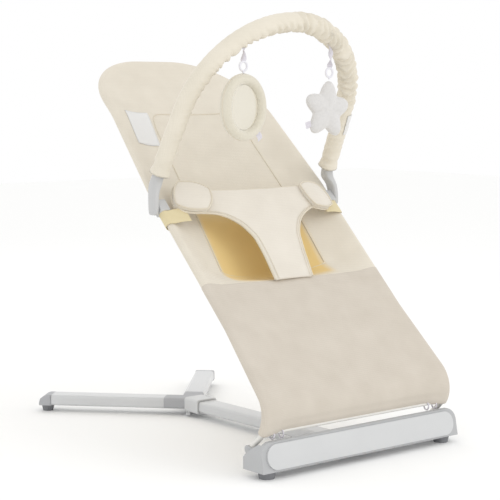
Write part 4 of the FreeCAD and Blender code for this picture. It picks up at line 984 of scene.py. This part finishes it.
# %% Moulded ends
# height above the pin, place across and along, half thickness and half width
BLADE = [(-10.0, 182.2, 0.0, 3.4, 6.5), (-8.5, 182.2, 0.0, 4.2, 8.8),
         (-4.0, 182.2, 0.0, 4.5, 10.0), (18.0, 181.8, 1.4, 4.5, 10.0),
         (28.0, 178.5, 4.0, 6.0, 10.0), (34.0, 174.5, 6.5, 7.8, 9.8),
         (42.0, 172.4, 6.0, 8.2, 8.8), (50.0, 171.5, 2.4, 8.2, 8.4),
         (54.0, 171.2, 0.6, 7.4, 7.6)]
for side, hand in HANDS:
    blade = bmesh.new()
    sections = []
    for up, across, back, thick, wide in BLADE:
        ring = bmesh.ops.create_circle(blade, segments=32, radius=1)["verts"]
        for v in ring:
            c, d = v.co.x, v.co.y
            square = (abs(c) ** 4 + abs(d) ** 4) ** -0.25
            v.co = hinge + Vector((side * (across + c * square * thick),
                                   back + d * square * wide, up)) * MM
        sections.append(ring)
    for low, high in zip(sections, sections[1:]):
        loops = [e for e in blade.edges
                 if set(e.verts) <= set(low) or set(e.verts) <= set(high)]
        bmesh.ops.bridge_loops(blade, edges=loops)
    for ring in (sections[0], sections[-1]):
        bmesh.ops.contextual_create(blade, geom=[
            e for e in blade.edges if set(e.verts) <= set(ring)])
    piece("bar_blade_" + hand, blade, CLIP_ABS, "toy_bar",
          ["bar_end_" + hand], smoother=True)
print("moulded ends made")

# %% Sleeve cloth
SLEEVE_RADIUS, GATHERING = 13.9, 1.14
SLEEVE_RINGS, SLEEVE_SIDES = 330, 32
sleeve, shares = cloth_grid(SLEEVE_SIDES, SLEEVE_RINGS)
for v, (a, b) in shares.items():
    run = SLEEVE_START + b * sleeve_run
    around = math.pi * a
    middle, out = bar_frame(run)
    end = min(b, 1 - b) * sleeve_run
    flare = 1.8 * math.exp(-end / 7.0) - 1.2 * math.exp(-((end - 14) / 5.0) ** 2)
    flare += 0.8 * math.sin(3 * around + 1) * math.exp(-end / 12.0)
    radius = SLEEVE_RADIUS + ruche(run - SLEEVE_START, around) + flare
    v.co = middle + (out * math.cos(around) + bar_front * math.sin(around)) * (radius * MM)
print("sleeve corners:", len(shares))

# %% Sleeve's open ends
rims = [e for e in sleeve.edges if e.is_boundary
        and abs(shares[e.verts[0]][1] - shares[e.verts[1]][1]) < 1e-6]
for inward in (1.8, 5.0):
    made = bmesh.ops.extrude_edge_only(sleeve, edges=rims)
    rims = [e for e in made["geom"] if isinstance(e, bmesh.types.BMEdge)]
    for v in {v for e in rims for v in e.verts}:
        run = SLEEVE_START if v.co.x < 0 else SLEEVE_START + sleeve_run
        away = v.co - bar_frame(run)[0]
        v.co = v.co - away.normalized() * (inward * 0.55 * MM)
        v.co += bar_up * (inward * 1.1 * MM)
sleeve_piece = piece("toy_bar_sleeve_cloth", sleeve, SLEEVE_JERSEY, "toy_bar",
                     ["toy_bar_sleeve"], wall=0.9, offset=-1.0)

# %% [markdown]
# ## Ribbons
# Each toy hangs on a satin ribbon that is sewn into the inner seam of the sleeve and twists
# on its way down to the plastic hook.


def ribbon(name, node_name, hook_name, twist, lean):
    """A twisted ribbon from the underside of the sleeve to the top of its hook."""
    hook_low, hook_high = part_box(hook_name)
    x, y = (hook_low.x + hook_high.x) / 2, (hook_low.y + hook_high.y) / 2
    top_run = arm_run + ARCH * (math.pi / 2 - SPLAY + math.asin(x / MM / ARCH))
    tail, shares = cloth_grid(6, 44)
    start = bar_frame(top_run)[0] - Vector((0, 0, 13.5 * MM))
    end = Vector((x, y, hook_high.z - 2.6 * MM))
    for v, (a, b) in shares.items():
        spot = start.lerp(end, b) + Vector((math.sin(math.pi * b) * lean * MM, 0, 0))
        turn = twist * math.pi * b
        width = 5.0 - 1.2 * math.sin(math.pi * b) - 1.4 * smooth((b - 0.85) / 0.15)
        way = Vector((math.cos(turn), math.sin(turn), 0))
        fold = Vector((-way.y, way.x, 0)) * (1.1 * math.cos(a * 2.2) * MM)
        v.co = spot + way * (a * width * MM) + fold
    hang = piece(name, tail, SATIN, "toy_bar", [node_name], wall=0.7,
                 smoother=True)


ribbon("mirror_tail", "mirror_ribbon", "mirror_hook", 1.0, 1.0)
ribbon("star_tail", "star_ribbon", "star_hook", 2.0, 3.0)
print("ribbons tied")

# %% [markdown]
# ## Mirror toy
# The mirror toy is a stuffed plush ring with a seam round its rim and a mirror film in the
# middle. The ring is a small circle spun round the toy's axis, and the cloth is pulled in
# a little every few millimetres where it is gathered. A tag is sewn in beside the mirror.

# %% Plush ring
RING_RADIUS, RING_SECTION, RING_FLAT = 41.5, 9.4, 0.88
ring_low, ring_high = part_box("mirror_ring")
ring_middle = (ring_low + ring_high) / 2
RING_TURN, RING_TAG = math.radians(12.5), (0.0115, 0.0145)
ring_axis = Vector((math.sin(RING_TURN), -math.cos(RING_TURN), 0))
ring_side = Vector((math.cos(RING_TURN), math.sin(RING_TURN), 0))
ring_up = Vector((0, 0, 1))
ring = bmesh.new()
bmesh.ops.create_circle(ring, segments=28, radius=RING_SECTION * MM)
bmesh.ops.rotate(ring, verts=ring.verts, cent=(0, 0, 0),
                 matrix=Matrix.Rotation(math.pi / 2, 3, "X"))
bmesh.ops.translate(ring, verts=ring.verts, vec=(RING_RADIUS * MM, 0, 0))
bmesh.ops.spin(ring, geom=ring.edges[:], cent=(0, 0, 0), axis=(0, 0, 1),
               angle=2 * math.pi, steps=96, use_merge=True)
turn_ring = Matrix((ring_side, ring_up, ring_axis)).transposed()
for v in ring.verts:
    around = math.atan2(v.co.y, v.co.x)
    spoke = Vector((math.cos(around), math.sin(around), 0))
    across = v.co - spoke * (RING_RADIUS * MM)
    tilt = math.atan2(across.z, across.dot(spoke))
    seam_pull = 0.10 * math.exp(-(tilt / 0.16) ** 2) + 0.05 * math.exp(
        -((abs(tilt) - 2.6) / 0.3) ** 2)
    pucker = 0.03 * noise.noise(v.co * 160) + 0.012 * math.sin(around * 34 + tilt * 2)
    across *= 1 - seam_pull + pucker
    across.x *= RING_FLAT
    across.y *= RING_FLAT
    v.co = spoke * (RING_RADIUS * MM) + across
    v.co = ring_middle + turn_ring @ v.co
ring_piece = piece("plush_ring", ring, CREAM_PLUSH, "mirror_toy",
                   ["mirror_ring"], smoother=True)
print("ring is", round(2 * (RING_RADIUS + RING_SECTION * RING_FLAT)), "mm across")

# %% Ring's seam, backing and tag
rim_line = []
for k in range(96):
    around = 2 * math.pi * k / 96
    spoke = ring_side * math.cos(around) + ring_up * math.sin(around)
    rim_line.append(ring_middle + spoke * ((RING_RADIUS + RING_SECTION * RING_FLAT * 0.93) * MM))
tube("ring_seam", rim_line, 0.7, PIPING, "mirror_toy", closed=True)
backing = bmesh.new()
bmesh.ops.create_circle(backing, cap_ends=True, segments=64, radius=(RING_RADIUS - 4) * MM)
for v in backing.verts:
    v.co = ring_middle + turn_ring @ (v.co - Vector((0, 0, 1.6 * MM)))
piece("ring_backing", backing, CREAM_PLUSH, "mirror_toy", wall=1.6)
tag, shares = cloth_grid(6, 8)
tag_spot = ring_middle + ring_side * (33 * MM) - ring_up * (38 * MM)
for v, (a, b) in shares.items():
    v.co = (tag_spot + ring_side * ((a * 5 + b * 7) * MM) - ring_up * ((b * 11 - a * 3) * MM)
            + ring_axis * (math.sin(b * 3) * 2 * MM))
tag_piece = piece("ring_tag", tag, SATIN, "mirror_toy", wall=0.4, smoother=True)
print("ring finished with its seam, backing and tag")

# %% [markdown]
# ## Star toy
# The star is two five-pointed pieces of plush sewn together and stuffed. A thin star-shaped
# pillow is cut from a flat grid, and air pressure in the cloth simulation blows it up,
# which gives the soft points and the puckers between them.

# %% Star outline
STAR_RADIUS, STAR_WAIST, STAR_HANG = 45.5, 29.0, 47.0
STAR_TURN, STAR_TAG = math.radians(-6), (0.0105, 0.011)
star_low, star_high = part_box("star_plush")
hook_low, hook_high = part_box("star_hook")
star_middle = (star_low + star_high) / 2
tip_x = (hook_low.x + hook_high.x) / 2
star_spot = Vector((tip_x + STAR_HANG * MM * math.sin(STAR_TURN), star_middle.y,
                    hook_low.z - STAR_HANG * MM * math.cos(STAR_TURN)))


print("star hangs", STAR_HANG, "mm under its hook")


def star_edge(turn):
    """The star's radius in a direction, with rounded points and valleys."""
    step = math.pi / 5
    phase = (turn - STAR_TURN - math.pi / 2) % (2 * step)
    share = abs(phase - step) / step
    return STAR_WAIST + (STAR_RADIUS - STAR_WAIST) * smooth(share) ** 0.95


# %% Star pillow
STAR_DOME = 11.0
star = bmesh.new()
bmesh.ops.create_grid(star, x_segments=30, y_segments=30, size=1)
for v in star.verts:
    x, y = v.co.x, v.co.y
    round_x = x * math.sqrt(1 - y * y / 2)
    round_y = y * math.sqrt(1 - x * x / 2)
    reach = math.hypot(round_x, round_y)
    turn = math.atan2(round_y, round_x)
    big = star_edge(turn) * reach ** 0.9
    dome = STAR_DOME * math.sqrt(max(1 - reach ** 2, 0))
    dome *= 0.55 + 0.45 * star_edge(turn) / 45
    v.co = Vector((big * math.cos(turn), -dome, big * math.sin(turn))) * MM
made = bmesh.ops.duplicate(star, geom=star.faces[:])
bmesh.ops.scale(star, verts=new_corners(made), vec=(1, -1, 1))
bmesh.ops.remove_doubles(star, verts=star.verts, dist=0.05 * MM)
bmesh.ops.translate(star, verts=star.verts, vec=star_spot)
star_piece = piece("plush_star", star, WHITE_PLUSH, "star_toy", ["star_plush"])
rim = [v.index for v in star_piece.data.vertices if abs(v.co.y - star_spot.y) < 0.6 * MM]
puff(star_piece, rim, 4.0, 4.0)
subdivide(star_piece)

# %% Star's tag
tag, shares = cloth_grid(6, 6)
for v, (a, b) in shares.items():
    v.co = star_spot + Vector((-33 - b * 10 + a * 1.5, a * 0.5 - 1 + b, -21 - a * 5 - b * 3)) * MM
tag_piece = piece("star_tag", tag, SATIN, "star_toy", wall=0.4, smoother=True)
print("star made")

# %% [markdown]
# ## Blank patches
# Two plain white patches are sewn on: one on the sitter's right wing beside the head, and
# one round the left arm of the toy bar. They carry no print.

# %% Patch on the wing
WING_PATCH, WING_PATCH_AT = (0.047, 0.074), (524.0, 596.0)
patch, shares = cloth_grid(14, 18)
for v, (a, b) in shares.items():
    x = -rail_half(520) + 43 + a * 23 + (b - 0.5) * 10
    s = WING_PATCH_AT[0] + b * (WING_PATCH_AT[1] - WING_PATCH_AT[0])
    v.co = rolled(x, s, sling_n(x, s) + 1.4)
patch_piece = piece("wing_patch", patch, PATCH, "seat", wall=0.5)

# %% Patch on the bar
BAR_PATCH, BAR_PATCH_AT, BAR_PATCH_RUN = (0.0165, 0.036), 0.855, 34.0
patch, shares = cloth_grid(8, 20)
for v, (a, b) in shares.items():
    run = SLEEVE_START + sleeve_run * BAR_PATCH_AT + b * BAR_PATCH_RUN
    middle, out = bar_frame(run)
    around = 1.1 + a * 0.55
    radius = SLEEVE_RADIUS + ruche(run - SLEEVE_START, around) + 0.9
    v.co = middle + (out * math.cos(around) + bar_front * math.sin(around)) * (radius * MM)
patch_piece = piece("bar_patch", patch, PATCH, "toy_bar", wall=0.5)
print("patches sewn")

# %% [markdown]
# ## Hem loops
# Short white loops hold the cover's hem to its rod near the rails.

# %% Loops at the hem
LOOPS_AT = (-163.0, -146.0, 146.0, 163.0)
for number, x in enumerate(LOOPS_AT):
    loop = []
    for k in range(16):
        turn = 2 * math.pi * k / 16
        loop.append(hem_middle + Vector((x * MM, math.cos(turn) * 5.0 * MM,
                                         (math.sin(turn) * 6.0 - 3.0) * MM)))
    tube("hem_loop_%d" % number, loop, 1.2, SATIN, "seat",
         closed=True)
print("hem tied with", len(LOOPS_AT), "loops")

# %% [markdown]
# ## Stage, light and camera
# The floor and backdrop are plain and pale. A large soft light stands in front and to the
# sitter's right, a weaker one fills the other side, and the sky is white. The camera looks
# slightly down from the front right corner.

# %% Floor
floor = bmesh.new()
bmesh.ops.create_grid(floor, x_segments=1, y_segments=1, size=6)
floor_mesh = bpy.data.meshes.new("floor")
floor.to_mesh(floor_mesh)
floor.free()
floor_obj = bpy.data.objects.new("floor", floor_mesh)
bpy.context.scene.collection.objects.link(floor_obj)
material, tree = new_material("pale_floor")
matt = add(tree, "BsdfPrincipled", {"Base Color": srgb("FDFDFC"), "Roughness": 0.9,
                                    "Specular IOR Level": 0.1})
add(tree, "OutputMaterial", {"Surface": matt.outputs[0]})
floor_mesh.materials.append(material)
print("floor laid")

# %% Light
world = bpy.data.worlds.new("studio")
bpy.context.scene.world = world
world.use_nodes = True
world.node_tree.nodes["Background"].inputs["Color"].default_value = (1, 1, 1, 1)
world.node_tree.nodes["Background"].inputs["Strength"].default_value = 1.0


def soft_light(name, place, aim, size, power):
    """A square soft box at a place, pointed at another."""
    lamp = bpy.data.lights.new(name, "AREA")
    lamp.size = size
    lamp.energy = power
    obj = bpy.data.objects.new(name, lamp)
    obj.location = place
    way = Vector(aim) - Vector(place)
    obj.rotation_euler = way.to_track_quat("-Z", "Y").to_euler()
    bpy.context.scene.collection.objects.link(obj)


soft_light("key", (1.0, -2.4, 1.6), (0, 0, 0.3), 1.6, 9)
soft_light("fill", (-1.8, -1.2, 1.4), (0, 0, 0.3), 1.8, 2)
soft_light("back", (0.2, 1.8, 1.8), (0, 0, 0.3), 1.6, 3)
print("lights:", len(bpy.data.lights))

# %% Camera
CAMERA_PLACE, CAMERA_TURN, CAMERA_DIP = (-1.49376, -1.85593, 0.53236), 0.68900, 0.10366
LENS = 108.02
lens = bpy.data.cameras.new("camera")
lens.lens = LENS
lens.sensor_width = 36
lens.clip_end = 50
camera = bpy.data.objects.new("camera", lens)
camera.location = CAMERA_PLACE
gaze = Vector((math.sin(CAMERA_TURN) * math.cos(CAMERA_DIP),
               math.cos(CAMERA_TURN) * math.cos(CAMERA_DIP), -math.sin(CAMERA_DIP)))
camera.rotation_euler = gaze.to_track_quat("-Z", "Y").to_euler()
bpy.context.scene.collection.objects.link(camera)
bpy.context.scene.camera = camera
bpy.context.scene.view_settings.view_transform = "Standard"
print("camera", round(camera.location.length, 2), "m from the middle of the base")
